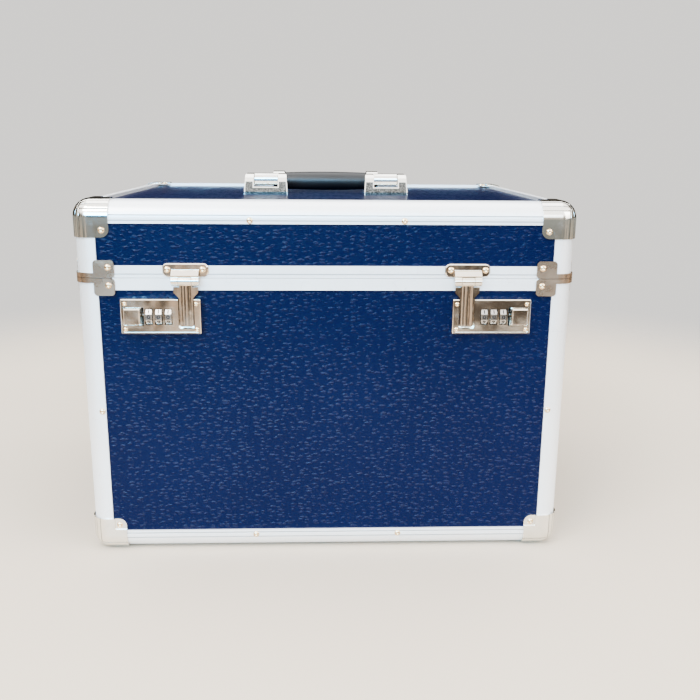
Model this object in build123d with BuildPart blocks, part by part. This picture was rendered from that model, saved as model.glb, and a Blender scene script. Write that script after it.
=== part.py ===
from build123d import *
import os

# Aluminium-framed grooming box with a hinged lid, two combination latches and a folding handle.
# Millimetres. +X right, +Y to the back, +Z up. The origin is at the floor under the middle.

os.makedirs("parts", exist_ok=True)

# Driving dimensions of the box
WIDTH = 400.0
DEPTH = 300.0
TOP = 298.0
SEAM = 237.2
SEAM_GAP = 0.3
SHEET = 1.2  # pressed corner and plate metal; the bottom corners are the feet
PANEL = 4.0
TOP_RECESS = 2.8  # the top panel lies this far below the lid's frame

HALF_W = WIDTH / 2
HALF_D = DEPTH / 2
FOOT = SHEET
MID_Z = (TOP + FOOT) / 2
BASE_TOP = SEAM - SEAM_GAP / 2
LID_BOTTOM = SEAM + SEAM_GAP / 2

# Aluminium edge extrusion: a quarter-round outer angle with a panel slot behind each leg
FLANGE = 18.0
FLANGE_T = 1.4
EDGE_R = 14.0
SLOT_END = 13.6
LIP_T = 1.2
LIP_IN = FLANGE_T + PANEL
GROOVES = (11.0, 15.2)
GROOVE_W = 0.6
GROOVE_D = 0.35

# Rims round the opening, and the dust lip that stands up inside the lid
RIM_H = 9.7
RIM_GROOVE = 2.6
RIM_WEB = 1.4
RIM_LIP_H = 8.0
DUST_LIP_IN = 7.4
DUST_LIP_H = 2.5

RUN_X = HALF_W - FLANGE
RUN_Y = HALF_D - FLANGE
PANEL_EDGE = SLOT_END + 0.4

# Inside faces that the linings follow
LINING_T = 2.0
LINING_IN = LIP_IN + LIP_T
LINING_X = HALF_W - LINING_IN
LINING_Y = HALF_D - LINING_IN

# Ball corners
CAP_REACH = 29.0
CAP_R = 13.4
LOBE_R = 6.5
RIVET_IN = 23.2

# Seam plates that wrap the corner posts
PLATE_REACH = 31.5
PLATE_W = 16.4
PLATE_H = 14.0
NECK_H = 3.8
PLATE_GAP = 0.35

# Rivets
RIVET_R = 2.6
RIVET_H = 1.2
PLATE_RIVET_IN = 26.7
BASE_PLATE_RIVET = 5.8
LID_PLATE_RIVET = 8.3
EDGE_RIVET_X = 61.0
EDGE_RIVET_IN = 13.4
TOP_RIVET_IN = 15.4
POST_RIVET_IN = 15.0
POST_RIVET_Z = 126.0
LOCK_RIVETS = ((104.3, 217.0), (161.0, 217.2), (104.3, 196.3), (161.0, 196.4))
LOCK_RIVET_R = 1.8
LATCH_RIVET_X = (98.8, 126.6)
LATCH_RIVET_Z = 244.2
HINGE_RIVET_X = 13.0
HINGE_RIVET_IN = 13.2

# Latch: plate with a hood on the lid, and the hasp on its pin
LATCH_X = 112.4
PIN_Z = 235.6
PIN_OUT = HALF_D + 4.4
KNUCKLE_R = 3.8
LATCH_PIN_R = 1.2
HINGE_W = 21.6
LATCH_PLATE_W = 36.6
LATCH_PLATE_Z0 = 238.4
LATCH_PLATE_Z1 = 249.2
LATCH_PLATE_R = 4.2
LATCH_PLATE_T = 2.2
HOOD_TOP = 244.2
HOOD_NOSE_Z = 240.2
HOOD_NOSE_OUT = HALF_D + 7.3
HASP_BACK = HALF_D + 2.2
HASP_PLATE_T = 1.6
HASP_T = 2.5
HASP_W = 10.8
HASP_TIP_Z = 198.3
HASP_KNUCKLE_W = 10.0
SHOULDER_HALF = 9.8
SHOULDER_Z0 = 226.1
SHOULDER_Z1 = 230.4
TAPER_Z = 221.4
RIB_HALF = 4.6
STAPLE_X = (110.0, 114.8)
STAPLE_Z = (200.8, 206.0)
STAPLE_T = 1.8

# Combination lock; depths are distances in front of the middle of the box
LOCK_W = 63.4
LOCK_H = 28.4
LOCK_X = 132.7
LOCK_Z = 206.8
LOCK_R = 1.2
LOCK_RIM = 1.5
LOCK_BEVEL = 0.8
LOCK_FACE = HALF_D + 5.4
LOCK_SUNK = LOCK_FACE - 0.7
PANEL_FACE = HALF_D - FLANGE_T
PANEL_BACK = PANEL_FACE - PANEL
LOCK_REAR = HALF_D - 9.4
REAR_X = (121.8, 162.6)
REAR_Z = (197.0, 217.0)
CHANNEL_HALF = 6.3
CHANNEL_Z = 197.1
CHANNEL_FLOOR = PANEL_FACE + 0.8
DIAL_X = (126.7, 134.4, 142.1)
DIAL_R = 7.4
DIAL_W = 5.4
DIAL_OUT = HALF_D - 0.3
DIAL_CHAMFER = 0.4
WINDOW_HALF_W = 3.1
WINDOW_HALF_H = 6.5
WINDOW_WALL = HALF_D + 3.9
DIAL_ROOM_X = (123.6, 145.2)
DIAL_ROOM_HALF = 7.9
SPINDLE_R = 1.5
SPINDLE_X = (122.1, 146.0)
BUTTON_X = 155.4
BUTTON_Z = 207.1
BUTTON_S = 13.1
BUTTON_OUT = HALF_D + 7.6
BUTTON_WINDOW_X = (146.2, 162.4)
BUTTON_WINDOW_Z = (199.6, 214.2)
SLIDER_X = (148.8, 162.9)
SLIDER_Z = (193.9, 214.2)
SLIDER_OUT = (HALF_D - 1.0, HALF_D + 2.6)
SLIDER_ROOM_X = (146.2, 163.3)
SLIDER_ROOM_Z = (193.6, 214.9)
SLIDER_ROOM_OUT = HALF_D + 3.0
BOLT_X = 107.2
BOLT_W = 2.4
BOLT_T = 1.1
NOSE_Z = 206.4
GROOVE_OUT = HALF_D + 0.4
BOLT_GROOVE_X = 101.9
LUG_X = (156.0, 158.4)
LUG_Z = (202.6, 209.6)
LUG_REAR = HALF_D - 7.2
SPRING_X = (146.4, 155.8)
SPRING_OUT = HALF_D - 5.0
SPRING_R = 2.2
SPRING_WIRE = 0.7
PLAY = 0.3  # room round a piece that slides

# Back hinges
HINGE_X = 110.0
HINGE_LEN = 40.0
HINGE_R = 3.0
HINGE_OUT = HALF_D + HINGE_R
HINGE_LEAF_H = 20.0
HINGE_PIN_R = 1.2
HINGE_GAP = 0.3

# Handle
LID_FACE = TOP - TOP_RECESS
HANDLE_X = 56.6
BRACKET_W = 41.0
BRACKET_TOP_W = 38.4
BRACKET_D = 28.0
BRACKET_FOOT = 2.2
BRACKET_WAIST = 20.8
BRACKET_WAIST_Z = 307.4
BRACKET_TOP = 314.3
BRACKET_FLOOR = 302.0
BRACKET_SLOT = 22.6
BRACKET_CORNER_R = 2.5
PIVOT_Z = 308.6
PIVOT_R = 2.0
PIVOT_L = 35.2
ARM_KNUCKLE_R = 5.7
ARM_W = 21.6
ARM_T = 8.0
ARM_BELOW = 5.0
GRIP_Y = 38.0
GRIP_Z = 305.6
GRIP_R = 9.0
GRIP_WAIST = 0.8
GRIP_HALF = 40.0
FERRULE_R = 9.7
FERRULE_L = 11.5

# Lift-out tray
TRAY_X = 188.0
TRAY_Y = 137.0
TRAY_Z = 176.0
TRAY_H = 52.0
TRAY_WALL = 2.0
TRAY_LIP = 3.0
TRAY_R = 9.0
LEDGE = 14.0
LEDGE_T = 1.5
DIVIDER_X = 62.0
DIVIDER_H = 42.0

RUNNING = 0.06  # radial clearance of a turning fit
PRESS = 0.02  # radial clearance of a pin that stays put


def save(piece, name):
    """Label a finished piece and write its STEP file."""
    piece.part.label = name
    export_step(piece.part, f"parts/{name}.step")


def front(distance):
    """A plane that faces the front, the given distance in front of the middle of the box."""
    return Plane.XZ.offset(distance)


def angle_band(reach, near, far, radius):
    """Section of an angle round the sketch's corner, from near to far behind its outer faces."""
    near_r = radius - near
    far_r = radius - far
    near_mid = radius - near_r * 0.5**0.5
    far_mid = radius - far_r * 0.5**0.5
    with BuildLine() as band:
        Line((reach, near), (radius, near))
        ThreePointArc((radius, near), (near_mid, near_mid), (near, radius))
        Line((near, radius), (near, reach))
        Line((near, reach), (far, reach))
        Line((far, reach), (far, radius))
        ThreePointArc((far, radius), (far_mid, far_mid), (radius, far))
        Line((radius, far), (reach, far))
        Line((reach, far), (reach, near))
    make_face(band.edges())


def block(u0, u1, v0, v1, mode=Mode.ADD):
    """Rectangle between two corners of the sketch."""
    with Locations((u0, v0)):
        Rectangle(u1 - u0, v1 - v0, align=(Align.MIN, Align.MIN), mode=mode)


def skin_depth(place):
    """How far the quarter-round lies behind the flat outer face, this far from the corner."""
    reach = max(EDGE_R - place, 0)
    return EDGE_R - (EDGE_R**2 - reach**2) ** 0.5


def edge_section(grooves=True):
    """Outer angle, its fine grooves, the inner angle and the webs that close the panel slots."""
    angle_band(FLANGE, 0, FLANGE_T, EDGE_R)
    web = SLOT_END - LIP_T
    block(web, SLOT_END, FLANGE_T / 2, LINING_IN)
    block(web, FLANGE, LIP_IN, LINING_IN)
    block(FLANGE_T / 2, LINING_IN, web, SLOT_END)
    block(LIP_IN, LINING_IN, web, FLANGE)
    if grooves:
        for place in GROOVES:
            depth = skin_depth(place) + GROOVE_D
            block(place, place + GROOVE_W, 0, depth, mode=Mode.SUBTRACT)
            block(0, depth, place, place + GROOVE_W, mode=Mode.SUBTRACT)


def top_edge_section():
    """The lid's upper edge, with a bead below its level leg that reaches down to the top panel."""
    edge_section()
    block(SLOT_END, FLANGE, FLANGE_T / 2, TOP_RECESS)


def post_section():
    """The corner posts have the same section with plain outer faces."""
    edge_section(grooves=False)


def base_rim_section():
    """Upper rim of the base, drawn down from the seam, with the dust lip standing above it."""
    block(0, FLANGE_T, 0, RIM_H)
    block(0, DUST_LIP_IN + LIP_T, 0, RIM_WEB)
    block(LIP_IN, LIP_IN + LIP_T, 0, RIM_LIP_H)
    block(DUST_LIP_IN, DUST_LIP_IN + LIP_T, -DUST_LIP_H, RIM_WEB)


def lid_rim_section():
    """Lower rim of the lid, drawn up from the seam."""
    block(0, FLANGE_T, 0, RIM_H)
    block(0, LIP_IN + LIP_T, 0, RIM_WEB)
    block(LIP_IN, LIP_IN + LIP_T, 0, RIM_LIP_H)
    block(0, GROOVE_D, RIM_GROOVE, RIM_GROOVE + GROOVE_W, mode=Mode.SUBTRACT)


def extrusion_run(section, start, inward, second, length):
    """A straight length of extrusion; its legs run along the two given directions."""
    along = Vector(*inward).cross(Vector(*second))
    with BuildSketch(Plane(origin=start, x_dir=inward, z_dir=along)) as drawn:
        section()
    extrude(drawn.sketch, amount=length)


def ring_of_runs(section, z, up):
    """Four runs round the box at height z, with the section's second leg up or down."""
    for side in (-1, 1):
        extrusion_run(
            section, (side * up * RUN_X, side * HALF_D, z), (0, -side, 0), (0, 0, up), 2 * RUN_X
        )
        extrusion_run(
            section, (side * HALF_W, -side * up * RUN_Y, z), (-side, 0, 0), (0, 0, up), 2 * RUN_Y
        )


def posts(z, height):
    """Four corner posts."""
    with BuildPart() as piece:
        extrusion_run(post_section, (-HALF_W, -HALF_D, z), (1, 0, 0), (0, 1, 0), height)
        mirror(about=Plane.YZ)
        mirror(about=Plane.XZ)
    return piece


def frame_ring(section, z, up):
    """Four runs in one node."""
    with BuildPart() as piece:
        ring_of_runs(section, z, up)
    return piece


def sheet(x0, x1, y0, y1, z0, z1):
    """A flat panel between its limits along X, Y and Z."""
    with BuildPart() as piece:
        with Locations((x0, y0, z0)):
            Box(x1 - x0, y1 - y0, z1 - z0, align=3 * [Align.MIN])
    return piece


def level_panel(z0, z1):
    """Bottom or top panel between two heights."""
    x, y = HALF_W - PANEL_EDGE, HALF_D - PANEL_EDGE
    return sheet(-x, x, -y, y, z0, z1)


def back_panel(z0, z1):
    """Upright panel at the back."""
    x = HALF_W - PANEL_EDGE
    return sheet(-x, x, PANEL_BACK, PANEL_FACE, z0, z1)


def side_panel(side, z0, z1):
    """Upright panel on the left or the right."""
    y = HALF_D - PANEL_EDGE
    outer = side * (HALF_W - FLANGE_T)
    inner = side * (HALF_W - FLANGE_T - PANEL)
    return sheet(min(inner, outer), max(inner, outer), -y, y, z0, z1)


def ball_block(corner, size, radius):
    """Block that reaches from the corner into the box, with its three outer edges rounded."""
    with BuildPart() as piece:
        with Locations(corner):
            Box(size, size, size, align=3 * [Align.MIN])
        fillet(outer_edges(piece, corner), radius)
    return piece


def corner_cap():
    """Ball corner for the front left bottom: three legs, and a lobe on each panel for its rivet."""
    corner = Vector(-HALF_W, -HALF_D, FOOT)
    skin = Vector(SHEET, SHEET, SHEET)
    outside = ball_block(corner - skin, CAP_REACH + SHEET, CAP_R + SHEET)
    inside = ball_block(corner, CAP_REACH + SHEET, CAP_R)
    with BuildPart() as piece:
        add(outside.part)
        add(inside.part, mode=Mode.SUBTRACT)
        for plane in cap_planes(corner):
            step_down_to_panel(plane)
    return piece


def outer_edges(piece, corner):
    """The three edges that meet at the corner that points out of the box."""
    return piece.edges().sort_by_distance(corner - Vector(9 * SHEET, 9 * SHEET, 9 * SHEET))[:3]


def cap_planes(corner):
    """Sketch planes on the three outer faces of the frame, with both legs along +x and +y."""
    return (
        Plane(origin=corner, x_dir=(1, 0, 0), z_dir=(0, 0, 1)),
        Plane(origin=corner, x_dir=(0, 1, 0), z_dir=(1, 0, 0)),
        Plane(origin=corner, x_dir=(0, 0, 1), z_dir=(0, 1, 0)),
    )


def step_down_to_panel(plane):
    """Cut the sheet beyond the flanges and carry it on lower, as a lobe on the panel."""
    wall = FLANGE + SHEET
    with BuildSketch(plane) as lobe:
        block(FLANGE, CAP_REACH, FLANGE, CAP_REACH)
    extrude(lobe.sketch, amount=FLANGE_T)
    with BuildSketch(plane.offset(FLANGE_T - SHEET)) as sunk:
        block(wall, CAP_REACH + SHEET, wall, CAP_REACH + SHEET)
    extrude(sunk.sketch, amount=-FLANGE_T - SHEET, mode=Mode.SUBTRACT)
    with BuildSketch(plane.offset(FLANGE_T)) as rounding:
        block(CAP_REACH - LOBE_R, CAP_REACH + 1, CAP_REACH - LOBE_R, CAP_REACH + 1)
        with Locations((CAP_REACH - LOBE_R, CAP_REACH - LOBE_R)):
            Circle(LOBE_R, mode=Mode.SUBTRACT)
    extrude(rounding.sketch, amount=-FLANGE_T - 2 * SHEET, mode=Mode.SUBTRACT)


def placed_cap(cap, flips):
    """The ball corner mirrored to another corner of the box."""
    with BuildPart() as piece:
        add(cap.part)
        for plane in flips:
            mirror(about=plane, mode=Mode.REPLACE)
    return piece


def seam_plates(edge_z, up):
    """Four plates that wrap the posts, on the base or the lid, with a narrow neck at the seam."""
    clear = PLATE_GAP / 2 - SEAM_GAP / 2
    with BuildPart() as piece:
        with BuildSketch(Plane(origin=(-HALF_W, -HALF_D, edge_z + up * clear))):
            angle_band(PLATE_REACH, -SHEET, 0, CAP_R)
        extrude(amount=up * PLATE_H)
        with BuildSketch(Plane(origin=(-HALF_W, -HALF_D, edge_z + up * (clear + NECK_H)))):
            block(-2 * SHEET, PLATE_REACH - PLATE_W, -2 * SHEET, PLATE_REACH - PLATE_W)
        extrude(amount=up * PLATE_H, mode=Mode.SUBTRACT)
        for axis in (Axis.X, Axis.Y):
            corners = piece.edges().filter_by(axis).filter_by(
                lambda edge: abs(edge.length - SHEET) < 0.01
                and abs(edge.center().Z - (edge_z + up * (clear + NECK_H))) > 0.1
            )
            fillet(corners, 2.8)
        mirror(about=Plane.YZ)
        mirror(about=Plane.XZ)
    return piece


def lining(z_closed, z_open):
    """Soft lining sheet shell, open towards the seam."""
    low, high = min(z_closed, z_open), max(z_closed, z_open)
    skin = LINING_T if z_closed < z_open else 0
    with BuildPart() as piece:
        with BuildSketch(Plane.XY.offset(low)):
            Rectangle(2 * LINING_X, 2 * LINING_Y)
        extrude(amount=high - low)
        with BuildSketch(Plane.XY.offset(low + skin)):
            RectangleRounded(2 * (LINING_X - LINING_T), 2 * (LINING_Y - LINING_T), 8)
        extrude(amount=high - low - LINING_T, mode=Mode.SUBTRACT)
    return piece


def rear_outline(side, margin, mode):
    """Outline of a lock's back in a front sketch, on the given side and with a margin all round."""
    with Locations((side * sum(REAR_X) / 2, sum(REAR_Z) / 2)):
        Rectangle(REAR_X[1] - REAR_X[0] + 2 * margin, REAR_Z[1] - REAR_Z[0] + 2 * margin, mode=mode)


def base_front_panel(z0, z1):
    """Front panel of the base, cut out for the back of each lock."""
    with BuildPart() as piece:
        with BuildSketch(front(PANEL_BACK)):
            with Locations((0, (z0 + z1) / 2)):
                Rectangle(2 * (HALF_W - PANEL_EDGE), z1 - z0)
            for side in (-1, 1):
                rear_outline(side, PLAY, Mode.SUBTRACT)
        extrude(amount=PANEL)
    return piece


def base_lining():
    """Lining of the base, cut out for the lock backs."""
    with BuildPart() as piece:
        add(lining(FOOT + LINING_IN, BASE_TOP - RIM_WEB).part)
        with BuildSketch(front(LINING_Y + 1)):
            for side in (-1, 1):
                rear_outline(side, 1.0, Mode.ADD)
        extrude(amount=-LINING_T - 2, mode=Mode.SUBTRACT)
    return piece


def front_box(x, out0, out1, z, mode=Mode.ADD):
    """Box between two distances in front of the middle, with its limits along X and Z."""
    with BuildSketch(front(out0)) as face:
        block(x[0], x[1], z[0], z[1])
    extrude(face.sketch, amount=out1 - out0, mode=mode)


def rod(x0, x1, y, z, radius, mode=Mode.ADD):
    """Round bar or bore along X."""
    with BuildSketch(Plane.YZ.offset(x0)) as disc:
        with Locations((y, z)):
            Circle(radius)
    extrude(disc.sketch, amount=x1 - x0, mode=mode)


def lock_case():
    """Right lock case: bevelled rim, hasp channel, windows, and hollows for what moves inside."""
    behind = PANEL_FACE - 1
    channel = (LATCH_X - CHANNEL_HALF, LATCH_X + CHANNEL_HALF)
    rooms_z = (LOCK_Z - DIAL_ROOM_HALF, LOCK_Z + DIAL_ROOM_HALF)
    with BuildPart() as piece:
        with BuildSketch(front(PANEL_FACE)):
            with Locations((LOCK_X, LOCK_Z)):
                RectangleRounded(LOCK_W, LOCK_H, LOCK_R)
        extrude(amount=LOCK_FACE - PANEL_FACE)
        chamfer(piece.faces().sort_by(Axis.Y)[0].edges(), LOCK_BEVEL)
        front_box(REAR_X, LOCK_REAR, PANEL_FACE, REAR_Z)
        with BuildSketch(front(LOCK_SUNK)) as sunk:
            with Locations((LOCK_X, LOCK_Z)):
                RectangleRounded(LOCK_W - 2 * LOCK_RIM, LOCK_H - 2 * LOCK_RIM, LOCK_R)
        extrude(sunk.sketch, amount=1, mode=Mode.SUBTRACT)
        # channel for the hasp, open at the top
        front_box(channel, CHANNEL_FLOOR, LOCK_FACE + 1, (CHANNEL_Z, LOCK_Z + LOCK_H), Mode.SUBTRACT)
        # groove in the back for the slide bolt, and a slot for its nose
        groove_z = (SLIDER_ROOM_Z[0], SLIDER_Z[0] + BOLT_W + PLAY)
        front_box((BOLT_GROOVE_X, SLIDER_X[0]), behind, GROOVE_OUT, groove_z, Mode.SUBTRACT)
        nose_x = (BOLT_X - BOLT_W - PLAY, BOLT_X + BOLT_W + PLAY)
        front_box(nose_x, behind, GROOVE_OUT, (SLIDER_Z[0], NOSE_Z + PLAY), Mode.SUBTRACT)
        # rooms for the dials and for the button's slider
        front_box(DIAL_ROOM_X, LOCK_REAR - 1, WINDOW_WALL, rooms_z, Mode.SUBTRACT)
        front_box((SLIDER_ROOM_X[0], LUG_X[1] + 3), LOCK_REAR - 1, PANEL_FACE, rooms_z, Mode.SUBTRACT)
        front_box(SLIDER_ROOM_X, PANEL_FACE - 0.1, SLIDER_ROOM_OUT, SLIDER_ROOM_Z, Mode.SUBTRACT)
        # windows
        for x in DIAL_X:
            window_x = (x - WINDOW_HALF_W, x + WINDOW_HALF_W)
            window_z = (LOCK_Z - WINDOW_HALF_H, LOCK_Z + WINDOW_HALF_H)
            front_box(window_x, WINDOW_WALL - 1, LOCK_FACE, window_z, Mode.SUBTRACT)
        front_box(BUTTON_WINDOW_X, SLIDER_ROOM_OUT - 1, LOCK_FACE, BUTTON_WINDOW_Z, Mode.SUBTRACT)
        rod(*SPINDLE_X, -DIAL_OUT, LOCK_Z, SPINDLE_R + PRESS, Mode.SUBTRACT)
    return piece


def dial(x):
    """Ten-sided number wheel on a round bore."""
    with BuildPart() as piece:
        with BuildSketch(Plane.YZ.offset(x - DIAL_W / 2)):
            with Locations(Location((-DIAL_OUT, LOCK_Z), 18)):
                RegularPolygon(DIAL_R, 10)
            with Locations((-DIAL_OUT, LOCK_Z)):
                Circle(SPINDLE_R + RUNNING, mode=Mode.SUBTRACT)
        extrude(amount=DIAL_W)
        chamfer(piece.faces().sort_by(Axis.X)[0].outer_wire().edges(), DIAL_CHAMFER)
        chamfer(piece.faces().sort_by(Axis.X)[-1].outer_wire().edges(), DIAL_CHAMFER)
    return piece


def lock_spindle():
    """Rod that carries the three dials."""
    with BuildPart() as piece:
        rod(*SPINDLE_X, -DIAL_OUT, LOCK_Z, SPINDLE_R)
    return piece


def button():
    """Button head, its slider with the spring lug, and the slide bolt with its upright nose."""
    with BuildPart() as piece:
        with BuildSketch(front(SLIDER_OUT[1] - PLAY)):
            with Locations((BUTTON_X, BUTTON_Z)):
                RectangleRounded(BUTTON_S, BUTTON_S, 1.2)
        extrude(amount=BUTTON_OUT - SLIDER_OUT[1] + PLAY)
        chamfer(piece.faces().sort_by(Axis.Y)[0].edges(), 1.0)
        front_box(SLIDER_X, *SLIDER_OUT, SLIDER_Z)
        bolt_z = (SLIDER_Z[0], SLIDER_Z[0] + BOLT_W)
        bolt_out = (SLIDER_OUT[0], SLIDER_OUT[0] + BOLT_T)
        front_box((BOLT_X, SLIDER_X[0] + BOLT_W), *bolt_out, bolt_z)
        front_box((BOLT_X, BOLT_X + BOLT_W), *bolt_out, (SLIDER_Z[0], NOSE_Z))
        front_box(LUG_X, LUG_REAR, SLIDER_OUT[0] + BOLT_T, LUG_Z)
    return piece


def button_spring():
    """Envelope of the return spring between the case and the button's lug."""
    with BuildPart() as piece:
        rod(*SPRING_X, -SPRING_OUT, LOCK_Z, SPRING_R)
        rod(*SPRING_X, -SPRING_OUT, LOCK_Z, SPRING_R - SPRING_WIRE, Mode.SUBTRACT)
    return piece


def lock_back_plates():
    """Plates that close the backs of the lock cases."""
    with BuildPart() as piece:
        with BuildSketch(front(LOCK_REAR)):
            rear_outline(1, 0, Mode.ADD)
        extrude(amount=-SHEET)
        mirror(about=Plane.YZ)
    return piece


def hasp():
    """Right hasp: shouldered plate, convex rib, knuckle round the pin and the staple behind."""
    half = HASP_W / 2
    right_side = (
        (half, HASP_TIP_Z),
        (half, TAPER_Z),
        (SHOULDER_HALF, SHOULDER_Z0),
        (SHOULDER_HALF, SHOULDER_Z1),
        (HASP_KNUCKLE_W / 2, SHOULDER_Z1),
        (HASP_KNUCKLE_W / 2, PIN_Z),
    )
    outline = [(LATCH_X + x, z) for x, z in right_side]
    outline += [(LATCH_X - x, z) for x, z in reversed(right_side)]
    knuckle = (LATCH_X - HASP_KNUCKLE_W / 2, LATCH_X + HASP_KNUCKLE_W / 2)
    with BuildPart() as piece:
        with BuildSketch(front(HASP_BACK)):
            with BuildLine():
                Polyline(*outline, close=True)
            make_face()
        extrude(amount=HASP_PLATE_T)
        fillet(piece.edges().filter_by(Axis.Y).group_by(Axis.Z)[0], 1.6)
        edge_y = -HASP_BACK - HASP_PLATE_T + 0.1
        with BuildSketch(Plane.XY.offset(HASP_TIP_Z + 0.8)) as rib:
            with BuildLine():
                ThreePointArc(
                    (LATCH_X - RIB_HALF, edge_y),
                    (LATCH_X, -HASP_BACK - HASP_T),
                    (LATCH_X + RIB_HALF, edge_y),
                )
                Line((LATCH_X + RIB_HALF, edge_y), (LATCH_X - RIB_HALF, edge_y))
            make_face()
        extrude(rib.sketch, amount=PIN_Z - HASP_TIP_Z - 3.0)
        rod(*knuckle, -PIN_OUT, PIN_Z, KNUCKLE_R)
        rod(*knuckle, -PIN_OUT, PIN_Z, LATCH_PIN_R + RUNNING, Mode.SUBTRACT)
        front_box(STAPLE_X, HASP_BACK - STAPLE_T, HASP_BACK, STAPLE_Z)
    return piece


def latch_plate():
    """Right plate on the lid: rounded plate, sloping hood and two ears for the pin."""
    ears = (LATCH_X - HINGE_W / 2, LATCH_X + HINGE_W / 2)
    gap = HASP_KNUCKLE_W / 2 + 0.3
    with BuildPart() as piece:
        with BuildSketch(front(HALF_D)):
            with Locations((LATCH_X, (LATCH_PLATE_Z0 + LATCH_PLATE_Z1) / 2)):
                RectangleRounded(LATCH_PLATE_W, LATCH_PLATE_Z1 - LATCH_PLATE_Z0, LATCH_PLATE_R)
        extrude(amount=LATCH_PLATE_T)
        chamfer(piece.faces().sort_by(Axis.Y)[0].edges(), 0.9)
        with BuildSketch(Plane.YZ.offset(ears[0])) as hood:
            with BuildLine():
                Polyline(
                    (-HALF_D, SEAM + 1.2),
                    (-HALF_D, HOOD_TOP),
                    (-HALF_D - 3.2, HOOD_TOP),
                    (-HALF_D - 4.6, HOOD_TOP - 0.7),
                    (-HOOD_NOSE_OUT, HOOD_NOSE_Z),
                    (-PIN_OUT, PIN_Z),
                    (-HALF_D - 1.2, SEAM + 0.4),
                    close=True,
                )
            make_face()
            with Locations((-PIN_OUT, PIN_Z)):
                Circle(KNUCKLE_R)
        extrude(hood.sketch, amount=HINGE_W)
        rod(LATCH_X - gap, LATCH_X + gap, -PIN_OUT, PIN_Z, KNUCKLE_R + 0.35, Mode.SUBTRACT)
        rod(*ears, -PIN_OUT, PIN_Z, LATCH_PIN_R + PRESS, Mode.SUBTRACT)
    return piece


def latch_pins():
    """Pins of both hasps."""
    with BuildPart() as piece:
        rod(LATCH_X - HINGE_W / 2, LATCH_X + HINGE_W / 2, -PIN_OUT, PIN_Z, LATCH_PIN_R)
        mirror(about=Plane.YZ)
    return piece


def hinge_knuckle_spans():
    """Start and end of the five knuckles, from the hinge's left end."""
    step = HINGE_LEN / 5
    return [(i * step, (i + 1) * step) for i in range(5)]


def hinge_leaves(up):
    """Leaves of both back hinges on the lid or the base, with their share of the knuckles."""
    edge = SEAM + up * SEAM_GAP / 2
    mine = (1, 3) if up > 0 else (0, 2, 4)
    with BuildPart() as piece:
        with BuildSketch(Plane.XZ.offset(-HALF_D)):
            low, high = sorted((edge, edge + up * HINGE_LEAF_H))
            with Locations((HINGE_X, (low + high) / 2)):
                Rectangle(HINGE_LEN, HINGE_LEAF_H)
        extrude(amount=-SHEET)
        ends = piece.edges().filter_by(Axis.Y)
        fillet(ends.group_by(Axis.Z)[-1 if up > 0 else 0], 3.0)
        for i, (a, b) in enumerate(hinge_knuckle_spans()):
            start = HINGE_X - HINGE_LEN / 2 + a
            if i in mine:
                with BuildSketch(Plane.YZ.offset(start + HINGE_GAP / 2)) as knuckle:
                    with Locations((HINGE_OUT, SEAM)):
                        Circle(HINGE_R)
                    low, high = sorted((SEAM, edge + up * 2 * HINGE_R))
                    block(HALF_D, HALF_D + SHEET, low, high)
                extrude(knuckle.sketch, amount=b - a - HINGE_GAP)
            else:
                rod(start, start + b - a, HINGE_OUT, SEAM, HINGE_R + HINGE_GAP, Mode.SUBTRACT)
        bore = HINGE_PIN_R + (RUNNING if up > 0 else PRESS)
        rod(HINGE_X - HINGE_LEN, HINGE_X + HINGE_LEN, HINGE_OUT, SEAM, bore, Mode.SUBTRACT)
        mirror(about=Plane.YZ)
    return piece


def hinge_pins():
    """Pins of the back hinges."""
    with BuildPart() as piece:
        rod(HINGE_X - HINGE_LEN / 2, HINGE_X + HINGE_LEN / 2, HINGE_OUT, SEAM, HINGE_PIN_R)
        mirror(about=Plane.YZ)
    return piece


def handle_brackets():
    """Two cast brackets: sloping walls under a rounded crown, and a slot for the arm's knuckle."""
    foot, waist = BRACKET_D / 2, BRACKET_WAIST / 2
    foot_z = LID_FACE + BRACKET_FOOT
    with BuildPart() as piece:
        with BuildSketch(Plane.XZ.offset(-foot)):
            with BuildLine():
                Polyline(
                    (HANDLE_X - BRACKET_W / 2, LID_FACE),
                    (HANDLE_X + BRACKET_W / 2, LID_FACE),
                    (HANDLE_X + BRACKET_TOP_W / 2, BRACKET_TOP),
                    (HANDLE_X - BRACKET_TOP_W / 2, BRACKET_TOP),
                    close=True,
                )
            make_face()
        extrude(amount=BRACKET_D)
        fillet(piece.edges().filter_by(Axis.Y).group_by(Axis.Z)[-1], BRACKET_CORNER_R)
        with BuildSketch(Plane.YZ.offset(HANDLE_X - BRACKET_W)) as side:
            with BuildLine():
                Polyline(
                    (waist, BRACKET_WAIST_Z),
                    (foot, foot_z),
                    (foot, LID_FACE),
                    (-foot, LID_FACE),
                    (-foot, foot_z),
                    (-waist, BRACKET_WAIST_Z),
                )
                ThreePointArc((-waist, BRACKET_WAIST_Z), (0, BRACKET_TOP), (waist, BRACKET_WAIST_Z))
            make_face()
        extrude(side.sketch, amount=2 * BRACKET_W, mode=Mode.INTERSECT)
        with BuildSketch(Plane.XY.offset(BRACKET_FLOOR)) as slot:
            with Locations((HANDLE_X, 0)):
                Rectangle(BRACKET_SLOT, BRACKET_D + 2)
        extrude(slot.sketch, amount=BRACKET_TOP, mode=Mode.SUBTRACT)
        pivot = PIVOT_R + PRESS
        rod(HANDLE_X - PIVOT_L / 2, HANDLE_X + PIVOT_L / 2, 0, PIVOT_Z, pivot, Mode.SUBTRACT)
        mirror(about=Plane.YZ)
    return piece


def handle_pins():
    """Pivot pins of the handle."""
    with BuildPart() as piece:
        rod(HANDLE_X - PIVOT_L / 2, HANDLE_X + PIVOT_L / 2, 0, PIVOT_Z, PIVOT_R)
        mirror(about=Plane.YZ)
    return piece


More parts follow.
